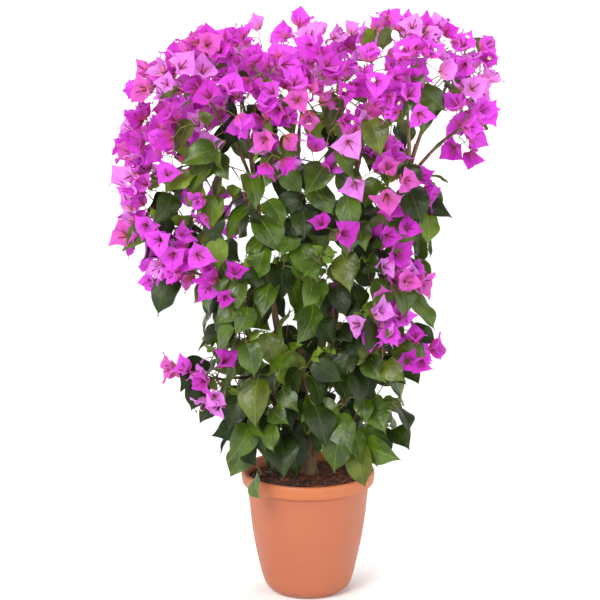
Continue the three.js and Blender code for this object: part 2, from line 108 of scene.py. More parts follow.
trunk = {
    "foot": (0.002, 0.004, soil["top"]),
    "top": (-0.002, 0.006, soil["top"] + 0.053),
    "flare": 0.020,
    "neck": 0.013,
    "crown": 0.0115,
}
bush = {"halfWidth": 0.330, "halfDepth": 0.190}

# each stem: where it leaves the trunk, two pulls on its curve, and its tip
stemRadius = (0.0074, 0.0036)
stems = {
    "stem_far_left": (0.62, (-0.080, 0, 0.330), (-0.124, 0.025, 0.560), (-0.184, 0.005, 0.700)),
    "stem_left": (0.84, (-0.045, 0.020, 0.380), (-0.075, -0.020, 0.600), (-0.102, 0.005, 0.805)),
    "stem_middle": (0.90, (-0.005, 0.045, 0.400), (-0.032, 0.035, 0.620), (-0.016, 0.008, 0.812)),
    "stem_right": (0.78, (0.042, -0.020, 0.380), (0.058, 0.020, 0.620), (0.094, 0.005, 0.812)),
    "stem_far_right": (0.56, (0.085, 0.015, 0.320), (0.120, -0.020, 0.560), (0.186, 0, 0.800)),
}

# each mass that has a bough of its own: the bough's stem, and where it leaves that
boughRadius = (0.0033, 0.0023)
boughRise = 0.16
boughs = {
    "cascade_lower": ("stem_far_left", 0.62),
    "cascade_middle": ("stem_far_left", 0.84),
    "cascade_upper": ("stem_far_left", 0.93),
    "blossom_left_end": ("stem_far_left", 0.98),
    "blossom_front_outer_left": ("stem_left", 0.84),
    "blossom_front_inner_left": ("stem_left", 0.92),
    "blossom_back_left": ("stem_left", 0.97),
    "blossom_back_middle": ("stem_middle", 0.97),
    "blossom_front_inner_right": ("stem_right", 0.90),
    "blossom_back_right": ("stem_right", 0.97),
    "blossom_front_outer_right": ("stem_far_right", 0.93),
    "blossom_right_end": ("stem_far_right", 0.98),
    "blossom_right_tip": ("stem_far_right", 0.88),
    "spray_middle_right": ("stem_far_right", 0.50),
    "spray_low_right": ("stem_far_right", 0.30),
    "spray_low_left": ("stem_far_left", 0.30),
    "skirt_left": ("stem_far_left", 0.09),
    "skirt_right": ("stem_far_right", 0.09),
}

# each kind of mass: twigs, share of blossom, and how far its stem leans forwards and rises
kinds = {
    "crown": (7, 0.92, 0, 0.5),
    "edge": (6, 0.92, 0, 0.5),
    "tip": (4, 0.95, 0, 0.1),
    "shoulder": (6, 0.28, 0.4, 0.24),
    "cascade": (6, 0.88, 0.1, 0.02),
    "leaves": (6, 0.06, 0.36, 0.28),
    "foot": (6, 0, 0.36, 0.28),
    "spray": (6, 0.54, 0.24, 0.08),
    "sprig": (3, 0.4, 0.2, 0),
    "skirt": (7, 0, 0.3, 0.14),
}

# each mass: its kind, its centre and its reach along X, Y and Z
masses = {
    "blossom_left_end": ("edge", (-0.218, 0.005, 0.838), (0.062, 0.098, 0.074)),
    "blossom_front_outer_left": ("crown", (-0.166, -0.075, 0.884), (0.066, 0.088, 0.080)),
    "blossom_front_inner_left": ("crown", (-0.066, -0.095, 0.889), (0.070, 0.085, 0.086)),
    "blossom_front_inner_right": ("crown", (0.048, -0.095, 0.885), (0.070, 0.085, 0.086)),
    "blossom_front_outer_right": ("crown", (0.160, -0.075, 0.932), (0.070, 0.090, 0.092)),
    "blossom_back_left": ("edge", (-0.120, 0.088, 0.898), (0.070, 0.088, 0.086)),
    "blossom_back_middle": ("edge", (-0.008, 0.092, 0.880), (0.072, 0.088, 0.084)),
    "blossom_back_right": ("edge", (0.106, 0.088, 0.922), (0.074, 0.090, 0.092)),
    "blossom_right_end": ("edge", (0.248, 0.018, 0.922), (0.062, 0.088, 0.080)),
    "blossom_right_tip": ("tip", (0.284, -0.020, 0.850), (0.048, 0.066, 0.056)),
    "shoulder_left": ("shoulder", (-0.154, 0, 0.768), (0.070, 0.130, 0.064)),
    "shoulder_middle": ("shoulder", (-0.030, 0, 0.770), (0.076, 0.140, 0.064)),
    "shoulder_right": ("shoulder", (0.094, 0, 0.776), (0.070, 0.132, 0.064)),
    "cascade_upper": ("cascade", (-0.262, -0.015, 0.752), (0.066, 0.088, 0.054)),
    "cascade_middle": ("cascade", (-0.262, -0.020, 0.668), (0.072, 0.084, 0.050)),
    "cascade_lower": ("cascade", (-0.190, -0.025, 0.584), (0.064, 0.078, 0.050)),
    "leaves_high_left": ("leaves", (-0.140, 0, 0.662), (0.070, 0.115, 0.066)),
    "leaves_high_middle": ("leaves", (-0.028, 0, 0.660), (0.070, 0.120, 0.066)),
    "leaves_high_right": ("leaves", (0.080, 0, 0.665), (0.068, 0.115, 0.066)),
    "spray_high_right": ("spray", (0.152, -0.010, 0.700), (0.050, 0.080, 0.064)),
    "leaves_middle_left": ("leaves", (-0.090, 0, 0.545), (0.070, 0.112, 0.066)),
    "leaves_middle_right": ("leaves", (0.022, 0, 0.545), (0.070, 0.112, 0.066)),
    "spray_middle_right": ("spray", (0.128, -0.015, 0.566), (0.062, 0.085, 0.062)),
    "leaves_low_left": ("leaves", (-0.114, 0, 0.437), (0.062, 0.110, 0.066)),
    "leaves_low_middle": ("foot", (-0.018, 0, 0.434), (0.066, 0.115, 0.066)),
    "leaves_low_right": ("foot", (0.070, 0, 0.438), (0.058, 0.110, 0.066)),
    "spray_low_right": ("spray", (0.140, -0.028, 0.440), (0.048, 0.070, 0.062)),
    "spray_low_left": ("sprig", (-0.168, -0.025, 0.393), (0.038, 0.052, 0.036)),
    "leaves_foot_left": ("foot", (-0.062, 0, 0.351), (0.060, 0.110, 0.052)),
    "leaves_foot_right": ("foot", (0.034, 0, 0.349), (0.060, 0.110, 0.052)),
    "skirt_left": ("skirt", (-0.092, 0, 0.322), (0.057, 0.112, 0.055)),
    "skirt_right": ("skirt", (0.095, 0, 0.315), (0.056, 0.112, 0.060)),
}


# Shader helpers

def paint(tone):
    # a colour as it is seen, from 0 to 255, to the linear colour that shaders take
    seen = [channel / 255 for channel in tone]
    return (*[c / 12.92 if c <= 0.04045 else ((c + 0.055) / 1.055) ** 2.4 for c in seen], 1)


def shaderNode(tree, kind, inputs=None, output=0, **settings):
    # adds a node, sets or links its inputs, and gives back one of its outputs
    node = tree.nodes.new("ShaderNode" + kind)
    for name, value in settings.items():
        setattr(node, name, value)
    for name, value in (inputs or {}).items():
        if isinstance(value, bpy.types.NodeSocket):
            tree.links.new(value, node.inputs[name])
        else:
            node.inputs[name].default_value = value
    return node.outputs[output]


def sums(tree, operation, first, second=0.0):
    return shaderNode(tree, "Math", {0: first, 1: second}, operation=operation)


def mixed(tree, share, *tones):
    # two colours mixed, each of them plain or another node's
    first, second = [paint(tone) if isinstance(tone, tuple) else tone for tone in tones]
    return shaderNode(tree, "Mix", {0: share, 6: first, 7: second}, output=2, data_type="RGBA")


def between(tree, value, low, high, toLow=0.0, toHigh=1.0):
    # a smooth step of a value from one range to another
    inputs = {0: value, 1: low, 2: high, 3: toLow, 4: toHigh}
    return shaderNode(tree, "MapRange", inputs, interpolation_type="SMOOTHSTEP")


def ownPlace(tree):
    return shaderNode(tree, "TexCoord", output=3)


def speckle(tree, scale, detail=3.0, roughness=0.55, stretch=(1, 1, 1)):
    place = shaderNode(tree, "Mapping", {"Vector": ownPlace(tree), "Scale": stretch})
    inputs = {"Vector": place, "Scale": scale, "Detail": detail, "Roughness": roughness}
    return shaderNode(tree, "TexNoise", inputs)


def newFinish(name):
    material = bpy.data.materials.new(name)
    material.use_nodes = True
    material.node_tree.nodes.clear()
    return material, material.node_tree


def showFinish(material, shader):
    output = material.node_tree.nodes.new("ShaderNodeOutputMaterial")
    material.node_tree.links.new(shader, output.inputs["Surface"])
    return material


def surface(tree, colour, roughness, height, distance, strength, shine=0.5, sheen=0.0):
    # a plain surface; its height is pressed into it as a relief
    inputs = {"Height": height, "Distance": distance, "Strength": strength}
    normal = shaderNode(tree, "Bump", inputs)
    inputs = {"Base Color": colour, "Roughness": roughness, "Normal": normal}
    inputs.update({"Specular IOR Level": shine, "Sheen Weight": sheen})
    return shaderNode(tree, "BsdfPrincipled", inputs)


def litThrough(tree, front, share, colour):
    # a thin blade that lets some light through
    through = shaderNode(tree, "BsdfTranslucent", {"Color": colour})
    return shaderNode(tree, "MixShader", {0: share, 1: front, 2: through})


def stageFinish():
    # near white, and it glows more and more towards its wall
    material, tree = newFinish("stage_white")
    colour = mixed(tree, speckle(tree, 3.0), (247, 247, 246), (250, 250, 250))
    matt = shaderNode(tree, "BsdfDiffuse", {"Color": colour})
    away = shaderNode(tree, "VectorMath", {0: ownPlace(tree)}, output=1, operation="LENGTH")
    glow = between(tree, away, stagePlan["glowFrom"], stagePlan["radius"], 0.0, stagePlan["glow"])
    lit = shaderNode(tree, "Emission", {"Color": colour, "Strength": glow})
    return showFinish(material, shaderNode(tree, "AddShader", {0: matt, 1: lit}))


potTones = {
    "body": ((164, 90, 61), (176, 102, 71)),
    "rim": ((170, 93, 54), (183, 106, 64)),
    "dust": (206, 142, 112),
    "scuff": (232, 188, 164),
    # a darker tone for the painted shade towards the pot's foot
    "foot": (156, 86, 60),
}


def potFinish():
    # satin terracotta-coloured plastic: a pinker body, a warmer rim, soft blotches and fine scuffs, and
    # painted shade that darkens the body towards its foot
    material, tree = newFinish("terracotta_plastic")
    height = shaderNode(tree, "SeparateXYZ", {0: ownPlace(tree)}, output=2)
    rimFoot = pot["height"] - pot["rimHeight"]
    rim = between(tree, height, rimFoot - 0.004, rimFoot + 0.006)
    body = mixed(tree, speckle(tree, 7.0), *potTones["body"])
    band = mixed(tree, speckle(tree, 11.0), *potTones["rim"])
    colour = mixed(tree, rim, body, band)
    dust = between(tree, speckle(tree, 46.0, 6.0, 0.7), 0.6, 0.78, 0.0, 0.22)
    colour = mixed(tree, dust, colour, potTones["dust"])
    scuff = between(tree, speckle(tree, 130.0, 2.0, 0.5, (1, 1, 0.35)), 0.77, 0.8, 0.0, 0.55)
    colour = mixed(tree, scuff, colour, potTones["scuff"])
    # painted shade: the lowest few centimetres grow darker towards the floor
    foot = between(tree, height, 0.0, 0.03, 0.35, 0.0)
    colour = mixed(tree, foot, colour, potTones["foot"])
    gloss = between(tree, speckle(tree, 16.0), 0.3, 0.7, 0.42, 0.55)
    shader = surface(tree, colour, gloss, speckle(tree, 420.0, 2.0), 0.00025, 0.35, 0.42)
    return showFinish(material, shader)


def soilFinish():
    material, tree = newFinish("potting_soil")
    damp = between(tree, speckle(tree, 60.0, 6.0, 0.7), 0.3, 0.7)
    colour = mixed(tree, damp, (36, 20, 13), (86, 50, 34))
    grit = speckle(tree, 260.0, 4.0, 0.7)
    return showFinish(material, surface(tree, colour, 0.92, grit, 0.0016, 0.9))


def plainFinish(name, dark, light, scale, roughness):
    # two close tones in a fine grain, for small woody or earthy things
    material, tree = newFinish(name)
    grain = speckle(tree, scale, 4.0, 0.6)
    colour = mixed(tree, between(tree, grain, 0.35, 0.65), dark, light)
    return showFinish(material, surface(tree, colour, roughness, grain, 0.0004, 0.6))


def barkFinish():
    # grey-brown bark with long streaks and patches of green
    material, tree = newFinish("bark")
    streaks = speckle(tree, 90.0, 5.0, 0.65, (1, 1, 0.16))
    colour = mixed(tree, between(tree, streaks, 0.35, 0.66), (70, 49, 35), (142, 115, 88))
    moss = between(tree, speckle(tree, 22.0), 0.5, 0.75, 0.0, 0.45)
    colour = mixed(tree, moss, colour, (98, 96, 58))
    height = sums(tree, "ADD", streaks, sums(tree, "MULTIPLY", speckle(tree, 420.0, 3.0), 0.3))
    return showFinish(material, surface(tree, colour, 0.85, height, 0.0009, 0.8))


veins = {"midrib": 0.05, "side": 0.06, "curved": 0.8}


def veinLines(tree, pairs, lean, midribShare, sideShare):
    # the midrib and side veins of a blade, from its own map: across it, and along it from the stalk
    parts = shaderNode(tree, "SeparateXYZ", {0: shaderNode(tree, "UVMap", uv_map="blade")}).node
    across, along = parts.outputs[0], parts.outputs[1]
    off = sums(tree, "ABSOLUTE", sums(tree, "MULTIPLY", sums(tree, "SUBTRACT", across, 0.5), 2.0))
    midrib = between(tree, off, veins["midrib"] * 0.4, veins["midrib"], 1.0, 0.0)
    bent = sums(tree, "MULTIPLY", sums(tree, "POWER", off, veins["curved"]), lean)
    phase = sums(tree, "MULTIPLY", sums(tree, "SUBTRACT", along, bent), pairs)
    phase = sums(tree, "FRACT", sums(tree, "ADD", phase, 8.0))
    wave = sums(tree, "ABSOLUTE", sums(tree, "SUBTRACT", phase, 0.5))
    side = sums(tree, "MULTIPLY", between(tree, wave, 0.5 - veins["side"], 0.5), sideShare)
    lines = sums(tree, "MAXIMUM", sums(tree, "MULTIPLY", midrib, midribShare), side)
    return lines, midrib, wave, along


def leafFinish(name, dark, light, vein, gloss, shine, through):
    # a satin leaf: blotched green, a paler midrib and side veins, and blades puffed between them
    material, tree = newFinish(name)
    lines, midrib, wave, _ = veinLines(tree, 5.5, 0.42, 0.40, 0.17)
    colour = mixed(tree, between(tree, speckle(tree, 26.0), 0.34, 0.66), dark, light)
    colour = mixed(tree, lines, colour, vein)
    puffed = sums(tree, "SUBTRACT", 1.0, sums(tree, "MULTIPLY", wave, 2.0))
    puffed = sums(tree, "MULTIPLY", puffed, 0.2)
    height = sums(tree, "SUBTRACT", puffed, sums(tree, "MULTIPLY", midrib, 0.7))
    height = sums(tree, "ADD", height, sums(tree, "MULTIPLY", speckle(tree, 70.0, 2.0), 2.2))
    rough = between(tree, speckle(tree, 90.0), 0.3, 0.7, gloss, gloss + 0.12)
    front = surface(tree, colour, rough, height, 0.0013, 0.6, shine)
    return showFinish(material, litThrough(tree, front, through, mixed(tree, 0.5, colour, vein)))


def bractFinish(name, edge, heart, line):
    # a papery bract: a warmer heart, a fine net of darker veins, and light that comes through it
    material, tree = newFinish(name)
    lines, _, _, along = veinLines(tree, 4.5, 0.55, 0.65, 0.35)
    inputs = {"Vector": shaderNode(tree, "UVMap", uv_map="blade"), "Scale": 9.0, "Randomness": 0.9}
    net = shaderNode(tree, "TexVoronoi", inputs, feature="DISTANCE_TO_EDGE")
    net = sums(tree, "MULTIPLY", between(tree, net, 0.0, 0.07, 1.0, 0.0), 0.22)
    lines = sums(tree, "MAXIMUM", lines, net)
    colour = mixed(tree, between(tree, speckle(tree, 34.0), 0.3, 0.7, 0.0, 0.35), edge, line)
    colour = mixed(tree, between(tree, along, 0.04, 0.42, 0.85, 0.0), colour, heart)
    colour = mixed(tree, lines, colour, line)
    height = sums(tree, "ADD", lines, speckle(tree, 200.0, 4.0))
    front = surface(tree, colour, 0.62, height, 0.0009, 0.5, 0.25, 0.25)
    return showFinish(material, litThrough(tree, front, 0.46, colour))


# Mesh helpers. A part is its points, its triangles and its own map.

@functools.cache
def gridTriangles(rows, wide, cells):
    # rows of points with one more point at each end; a tube has as many cells as points, a blade one fewer
    made = []
    top = (rows - 1) * wide
    for cell in range(cells):
        after = (cell + 1) % wide
        for low in range(0, top, wide):
            high = low + wide
            made += [(low + cell, low + after, high + after), (low + cell, high + after, high + cell)]
        made += [(rows * wide, after, cell), (rows * wide + 1, top + cell, top + after)]
    return np.array(made)


def tube(line, radii, sides, bulge=None):
    # a closed tube along a list of points; bulge changes the radius by ring and side
    centres = [Vector(point) for point in line]
    count = len(centres)
    ahead = [(b - a).normalized() for a, b in zip(centres[:1] + centres, centres[1:] + centres[-1:])]
    across = ahead[0].orthogonal().normalized()
    turns = np.arange(sides) * (fullTurn / sides)
    rings = []
    for i, centre in enumerate(centres):
        if i:
            across = (ahead[i - 1].rotation_difference(ahead[i]) @ across).normalized()
        other = ahead[i].cross(across)
        reach = np.full(sides, radii[i])
        if bulge is not None:
            reach = reach * bulge[i]
        ring = np.outer(np.cos(turns) * reach, across) + np.outer(np.sin(turns) * reach, other)
        rings.append(ring + np.array(centre))
    ends = [centres[0] - ahead[0] * radii[0] * 0.4, centres[-1] + ahead[-1] * radii[-1] * 0.8]
    points = np.concatenate([*rings, np.array(ends)])
    uvs = np.zeros((len(points), 2))
    uvs[:count * sides, 0] = np.tile(np.arange(sides) / sides, count)
    uvs[:count * sides, 1] = np.repeat(np.linspace(0, 1, count), sides)
    return points, gridTriangles(count, sides, sides), uvs


def thinTube(line, radius, shares):
    return tube(line, [radius * share for share in shares], 5)


ripples = {"edge": 14, "twist": 9, "lift": 13}


def blade(plan, length, halfWidth, headings, fold, wave, phase, sway=0.0):
    # a blade in its own frame: X across, Y ahead and Z out of its face; headings bend its midrib,
    # sway bends its tip to one side, and fold and wave lift its halves
    rows, cells = plan["rows"], plan["cells"]
    along = plan["along"]
    outline = plan["outline"] * halfWidth * (1 + plan["ruffle"] * np.sin(along * ripples["edge"] + phase * 2))
    heading = np.interp(along, np.linspace(0, 1, len(headings)), headings)
    steps = np.diff(along) * length
    middle = (heading[1:] + heading[:-1]) / 2
    ahead = np.concatenate([[0], np.cumsum(steps * np.cos(middle))])
    rise = np.concatenate([[0], np.cumsum(steps * np.sin(middle))])
    share = np.linspace(-1, 1, cells + 1)
    x = np.outer(outline[1:-1], share)
    lift = np.abs(x) * math.tan(fold) * (1.1 - plan["arch"] * np.abs(share))
    twist = np.sin(along[1:-1] * ripples["twist"] + phase)
    lift = lift + wave * np.outer(twist, share ** 2 * np.sign(share + 0.001))
    lift = lift + wave * 0.7 * np.outer(np.cos(along[1:-1] * ripples["lift"] + phase), share ** 2)
    y = ahead[1:-1, None] - lift * np.sin(heading[1:-1, None])
    z = rise[1:-1, None] + lift * np.cos(heading[1:-1, None])
    bent = sway * length * along ** 2
    grid = np.stack([x + bent[1:-1, None], y, z], axis=2).reshape(-1, 3)
    points = np.concatenate([grid, [[0, 0, 0]], [[bent[-1], ahead[-1], rise[-1]]]])
    u = 0.5 + 0.5 * x / halfWidth
    v = np.repeat(along[1:-1, None], cells + 1, axis=1)
    uvs = np.concatenate([np.stack([u, v], axis=2).reshape(-1, 2), [[0.5, 0]], [[0.5, 1]]])
    return points, gridTriangles(rows, cells + 1, cells), uvs


def placed(part, origin, across, ahead, face):
    # a part moved from its own frame to a place and three directions
    points, triangles, uvs = part
    turn = np.array([across, ahead, face])
    return points @ turn + np.array(origin), triangles, uvs


def added(name, data):
    # a new object in the scene
    made = bpy.data.objects.new(name, data)
    bpy.context.scene.collection.objects.link(made)
    return made


def newMesh(name, points, faces, finish):
    mesh = bpy.data.meshes.new(name)
    mesh.from_pydata(points, [], faces)
    mesh.shade_smooth()
    mesh.materials.append(finish)
    return mesh


def makePiece(name, parts, finish, standsFor=()):
    # joins parts into one named piece that rides on the bush's body
    counts = np.cumsum([0] + [len(part[0]) for part in parts])
    points = np.concatenate([part[0] for part in parts])
    triangles = np.concatenate([part[1] + start for part, start in zip(parts, counts)])
    uvs = np.concatenate([part[2] for part in parts])
    mesh = newMesh(name, points.tolist(), triangles.tolist(), finish)
    layer = mesh.uv_layers.new(name="blade")
    layer.data.foreach_set("uv", uvs[triangles.ravel()].astype(np.float32).ravel())
    piece = added(name, mesh)
    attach(piece, "root")
    if standsFor:
        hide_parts(*standsFor)
    print("piece", name, len(triangles), "triangles")


def turnedPart(profile, sides, shift):
    # a closed turned part, from a profile of (radius, height) that starts and ends on the axis;
    # shift changes the radii and heights of each ring
    rings = profile[1:-1]
    turns = np.arange(sides) * (fullTurn / sides)
    points = []
    for radius, height in rings:
        reach, lift = shift(turns, np.full(sides, radius), np.full(sides, height))
        points.append(np.stack([reach * np.cos(turns), reach * np.sin(turns), lift], axis=1))
    points = np.concatenate([*points, [[0, 0, profile[0][1]]], [[0, 0, profile[-1][1]]]])
    return points, gridTriangles(len(rings), sides, sides), np.zeros((len(points), 2))


def rounded(corners, steps=5):
    # a profile with its corners rounded: each corner is a radius, a height and how far its round reaches
    line = [corners[0][:2]]
    for before, corner, after in zip(corners, corners[1:], corners[2:]):
        here = Vector(corner[:2])
        back, on = Vector(before[:2]) - here, Vector(after[:2]) - here
        start, end = [here + way.normalized() * min(corner[2], way.length * 0.45) for way in (back, on)]
        for step in range(steps + 1):
            t = step / steps
            line.append(tuple(start * (1 - t) ** 2 + here * 2 * t * (1 - t) + end * t ** 2))
    line.append(corners[-1][:2])
    return line


# The pot: a rolled rim over a wall that narrows to a rounded heel.

def makePot():
    top, rimFoot = pot["height"], pot["height"] - pot["rimHeight"]
    rim, shoulder, wall, foot = pot["rimRadius"], pot["shoulderRadius"], pot["wall"], pot["footRadius"]
    side = [(pot["heelRadius"], pot["heelHeight"], 0.016), (pot["waistRadius"], pot["waistHeight"], 0.05)]
    corners = [
        (0, 0.0015, 0),
        (foot - 0.014, 0.0015, 0.001),
        (foot - 0.012, 0, 0.001),
        (foot, 0, 0.004),
        (foot + 0.014, 0.010, 0.010),
        *side,
        (shoulder, rimFoot - 0.001, 0.002),
        (shoulder + 0.004, rimFoot + 0.001, 0.002),
        (shoulder + pot["rimStep"], rimFoot + 0.003, 0.004),
        (rim - 0.0005, top - 0.007, 0.008),
        (rim - 0.003, top - 0.0005, 0.003),
        (rim - pot["rimStep"], top - 0.0015, 0.003),
        (shoulder - wall + 0.002, top - 0.012, 0.004),
        (shoulder - wall, rimFoot - 0.01, 0.01),
        *[(radius - wall, height, reach) for radius, height, reach in reversed(side)],
        (foot, 0.006, 0.006),
        (0, 0.005, 0),
    ]

    def wobble(turns, reach, lift):
        # moulded plastic is never quite round
        push = [noise.noise((math.cos(t), math.sin(t), lift[0] * 9)) * pot["wobble"] for t in turns]
        return reach + np.array(push) * (reach[0] > foot), lift

    makePiece("pot_shell", [turnedPart(rounded(corners), pot["sides"], wobble)], potFinish(), ["pot"])


# The soil: a bumpy bed with crumbs, reddish fibres and pale specks.

# each kind of small thing in it: two tones, the grain's scale and roughness
soilLooks = {
    "crumb": ((40, 23, 15), (96, 56, 38), 180.0, 0.9),
    "fibre": ((122, 60, 36), (176, 102, 64), 300.0, 0.8),
    "speck": ((176, 164, 146), (226, 218, 204), 300.0, 0.8),
}


def soilHeight(x, y):
    spread = math.hypot(x, y) / soil["radius"]
    coarse = noise.noise((x * 38, y * 38, 2.5))
    fine = noise.noise((x * 130, y * 130, 7.1))
    mound = soil["mound"] * math.exp(-(spread * 3) ** 2)
    bumps = soil["bumps"] * (0.55 * coarse + 0.35 * fine)
    return soil["top"] - soil["edgeDrop"] * spread ** 3 + mound + bumps - 0.001


def makeSoil():
    inset = pot["wall"] + 0.0005
    profile = [
        (0, 0.008),
        (pot["footRadius"] - 0.004, 0.008),
        (pot["heelRadius"] - inset, pot["heelHeight"] + 0.004),
        (pot["waistRadius"] - inset, pot["waistHeight"]),
        (soil["radius"], soil["top"] - 0.016),
    ]
    profile += [(soil["radius"] * (1 - ring / soil["rings"]), math.nan) for ring in range(soil["rings"])]
    profile.append((0, soilHeight(0, 0)))

    def bumps(turns, reach, lift):
        # the bed has its own height wherever the profile gives none
        if math.isnan(lift[0]):
            lift = np.array([soilHeight(r * math.cos(t), r * math.sin(t)) for r, t in zip(reach, turns)])
        return reach, lift

    makePiece("soil_bed", [turnedPart(profile, soil["sides"], bumps)], soilFinish(), ["soil"])
    dice = random.Random(31)
    least, most = soil["crumbSize"]
    crumbs = [crumb(dice, least + (most - least) * dice.random() ** 2) for _ in range(soil["crumbs"])]
    specks = [crumb(dice, within(dice, soil["speckSize"])) for _ in range(soil["specks"])]
    fibres = [fibre(dice) for _ in range(soil["fibres"])]
    for name, parts in (("crumb", crumbs), ("fibre", fibres), ("speck", specks)):
        makePiece("soil_" + name + "s", parts, plainFinish("soil_" + name, *soilLooks[name]))


def soilSpot(dice):
    spread = math.sqrt(dice.random()) * (soil["radius"] - 0.006)
    turn = dice.random() * fullTurn
    x, y = spread * math.cos(turn), spread * math.sin(turn)
    return Vector((x, y, soilHeight(x, y)))


def crumb(dice, size):
    # a rough lump, half sunk in the bed
    line = [Vector((0, 0, size * h)) for h in (-0.7, 0.0, 0.65)]
    radii = [size * (least + 0.3 * dice.random()) for least in (0.5, 0.85, 0.4)]
    bulge = [[0.7 + 0.6 * dice.random() for _ in range(5)] for _ in range(3)]
    points, triangles, uvs = tube(line, radii, 5, bulge)
    axis = [dice.random() - 0.5 for _ in range(3)]
    turn = np.array(Quaternion(axis, dice.random() * 3).to_matrix())
    return points @ turn + np.array(soilSpot(dice)), triangles, uvs


def fibre(dice):
    # a thin root that lies on the bed and hops a little
    spot = soilSpot(dice)
    turn = dice.random() * fullTurn
    length = within(dice, soil["fibreLength"])
    line = []
    for step in range(6):
        spot = spot + Vector((math.cos(turn), math.sin(turn), 0)) * (length / 5)
        spread = min(1.0, (soil["radius"] - 0.004) / max(1e-6, math.hypot(spot.x, spot.y)))
        x, y = spot.x * spread, spot.y * spread
        hop = 0.0012 * math.sin(step / 5 * math.pi) * dice.random()
        line.append(Vector((x, y, soilHeight(x, y) + soil["fibreLift"] + hop)))
        turn += (dice.random() - 0.5) * 0.9
    return tube(line, [soil["fibreRadius"]] * 6, 4)


# Curves

def onCurve(controls, share):
    # a point on a Bezier curve of any order
    points = [Vector(point) for point in controls]
    while len(points) > 1:
        points = [a.lerp(b, share) for a, b in zip(points, points[1:])]
    return points[0]


def evenShares(controls, shares, divisions=200):
    # the curve's own shares for shares of its length
    points = [onCurve(controls, i / divisions) for i in range(divisions + 1)]
    walked = np.cumsum([0] + [(b - a).length for a, b in zip(points, points[1:])])
    return np.interp(np.array(shares) * walked[-1], walked, np.arange(divisions + 1) / divisions)


def evenPoints(controls, count):
    return [onCurve(controls, share) for share in evenShares(controls, np.linspace(0, 1, count + 1))]


def bowed(start, end, lift, way=up):
    # three points from start to end, with the middle one pushed off the line
    return [start, start.lerp(end, 0.5) + way * lift, end]


def taperedTube(curve, radii, count, sides):
    shares = [i / count for i in range(count + 1)]
    radiusAt = tapered(radii)
    return tube([onCurve(curve, share) for share in shares], [radiusAt(share) for share in shares], sides)


def turned(start, towards, angle):
    # a way turned from one direction towards another that is square to it
    return start * math.cos(angle) + towards * math.sin(angle)


def spoke(axis, angle):
    # a way square to an axis, at an angle round it
    first = axis.orthogonal().normalized()
    return turned(first, axis.cross(first), angle)


# The limbs: a trunk, five stems and the boughs, with a relief of bark.

barkPlan = {"knotEvery": 0.035, "knotReach": 0.005, "knot": (0.10, 0.26), "furrow": 0.13, "rough": 0.06}


def within(dice, pair):
    return pair[0] + (pair[1] - pair[0]) * dice.random()


def around(dice, most):
    # a draw between minus most and most
    return (dice.random() * 2 - 1) * most


def tapered(ends):
    return lambda share: ends[0] + (ends[1] - ends[0]) * share


def planLimbs():
    foot, top = Vector(trunk["foot"]), Vector(trunk["top"])
    trunkCurve = [foot, foot + up * (top.z - foot.z) * 0.4, top]
    curves = {}
    for name, (leaves, firstPull, secondPull, tip) in stems.items():
        curves[name] = [onCurve(trunkCurve, leaves), firstPull, secondPull, tip]
    for mass, (stem, share) in boughs.items():
        start = onCurve(curves[stem], evenShares(curves[stem], [share])[0])
        _, at, reach = masses[mass]
        centre = Vector(at)
        back = start - centre
        far = back.length
        back.normalize()
        massReach = 1 / math.sqrt(sum((back[k] / reach[k]) ** 2 for k in range(3)))
        end = centre + back * min(0.5 * massReach, 0.6 * far)
        name = "bough_" + mass.removeprefix("blossom_").removeprefix("spray_")
        curves[name] = bowed(start, end, far, up * boughRise)
    return trunkCurve, curves


def barkTube(controls, radiusAt, sides, spacing, seed):
    # a limb with knots where twigs have grown, furrows along it and an uneven outline
    walked = evenPoints(controls, 30)
    length = sum((b - a).length for a, b in zip(walked, walked[1:]))
    count, knotCount = max(8, int(length / spacing)), int(length / barkPlan["knotEvery"])
    dice = random.Random(seed)
    knots = [(dice.random(), within(dice, barkPlan["knot"])) for _ in range(knotCount)]
    reach = barkPlan["knotReach"] / length
    radii, bulge = [], []
    for i in range(count + 1):
        share = i / count
        swell = sum(size * math.exp(-((share - at) / reach) ** 2) for at, size in knots)
        radii.append(radiusAt(share) * (1 + swell))
        ring = []
        for side in range(sides):
            x, y = math.cos(side / sides * fullTurn), math.sin(side / sides * fullTurn)
            furrow = noise.noise((x * 2.6, y * 2.6, share * length * 30 + seed))
            grain = noise.noise((x * 6, y * 6, share * length * 130 + seed))
            ring.append(1 + barkPlan["furrow"] * furrow + barkPlan["rough"] * grain)
        bulge.append(ring)
    return tube(evenPoints(controls, count), radii, sides, bulge)


def trunkRadius(share):
    if share < 0.34:
        return trunk["neck"] + (trunk["flare"] - trunk["neck"]) * max(0, 1 - share * 3) ** 2
    return trunk["neck"] + (trunk["crown"] - trunk["neck"]) * share


def limbRadius(name):
    return tapered(stemRadius if name in stems else boughRadius)


def makeLimbs(trunkCurve, curves):
    bark = barkFinish()
    makePiece("bark_trunk", [barkTube(trunkCurve, trunkRadius, 40, 0.0016, 11)], bark, ["trunk"])
    for seed, (name, curve) in enumerate(curves.items(), 20):
        sides, spacing = (22, 0.003) if name in stems else (14, 0.004)
        part = barkTube(curve, limbRadius(name), sides, spacing, seed)
        makePiece("bark_" + name, [part], bark, [name])


# The rule by which a mass grows, the same as in the model.

twigDepth = {"least": 0.45, "drawn": 0.45, "lost": 0.55}
twigSpots = (0.97, 0.74, 0.5)
twigWays = [(swing, side) for swing in (0, 0.35, -0.35, 0.7, -0.7) for side in (1, -1)]
overhang = 0.014
fullReach = 1.22
limbGap = 0.0022
centres = np.array([at for _, at, _ in masses.values()])
weights = np.array([reach[0] * reach[2] for _, _, reach in masses.values()])
apart = np.linalg.norm(centres[:, None] - centres[None], axis=2)


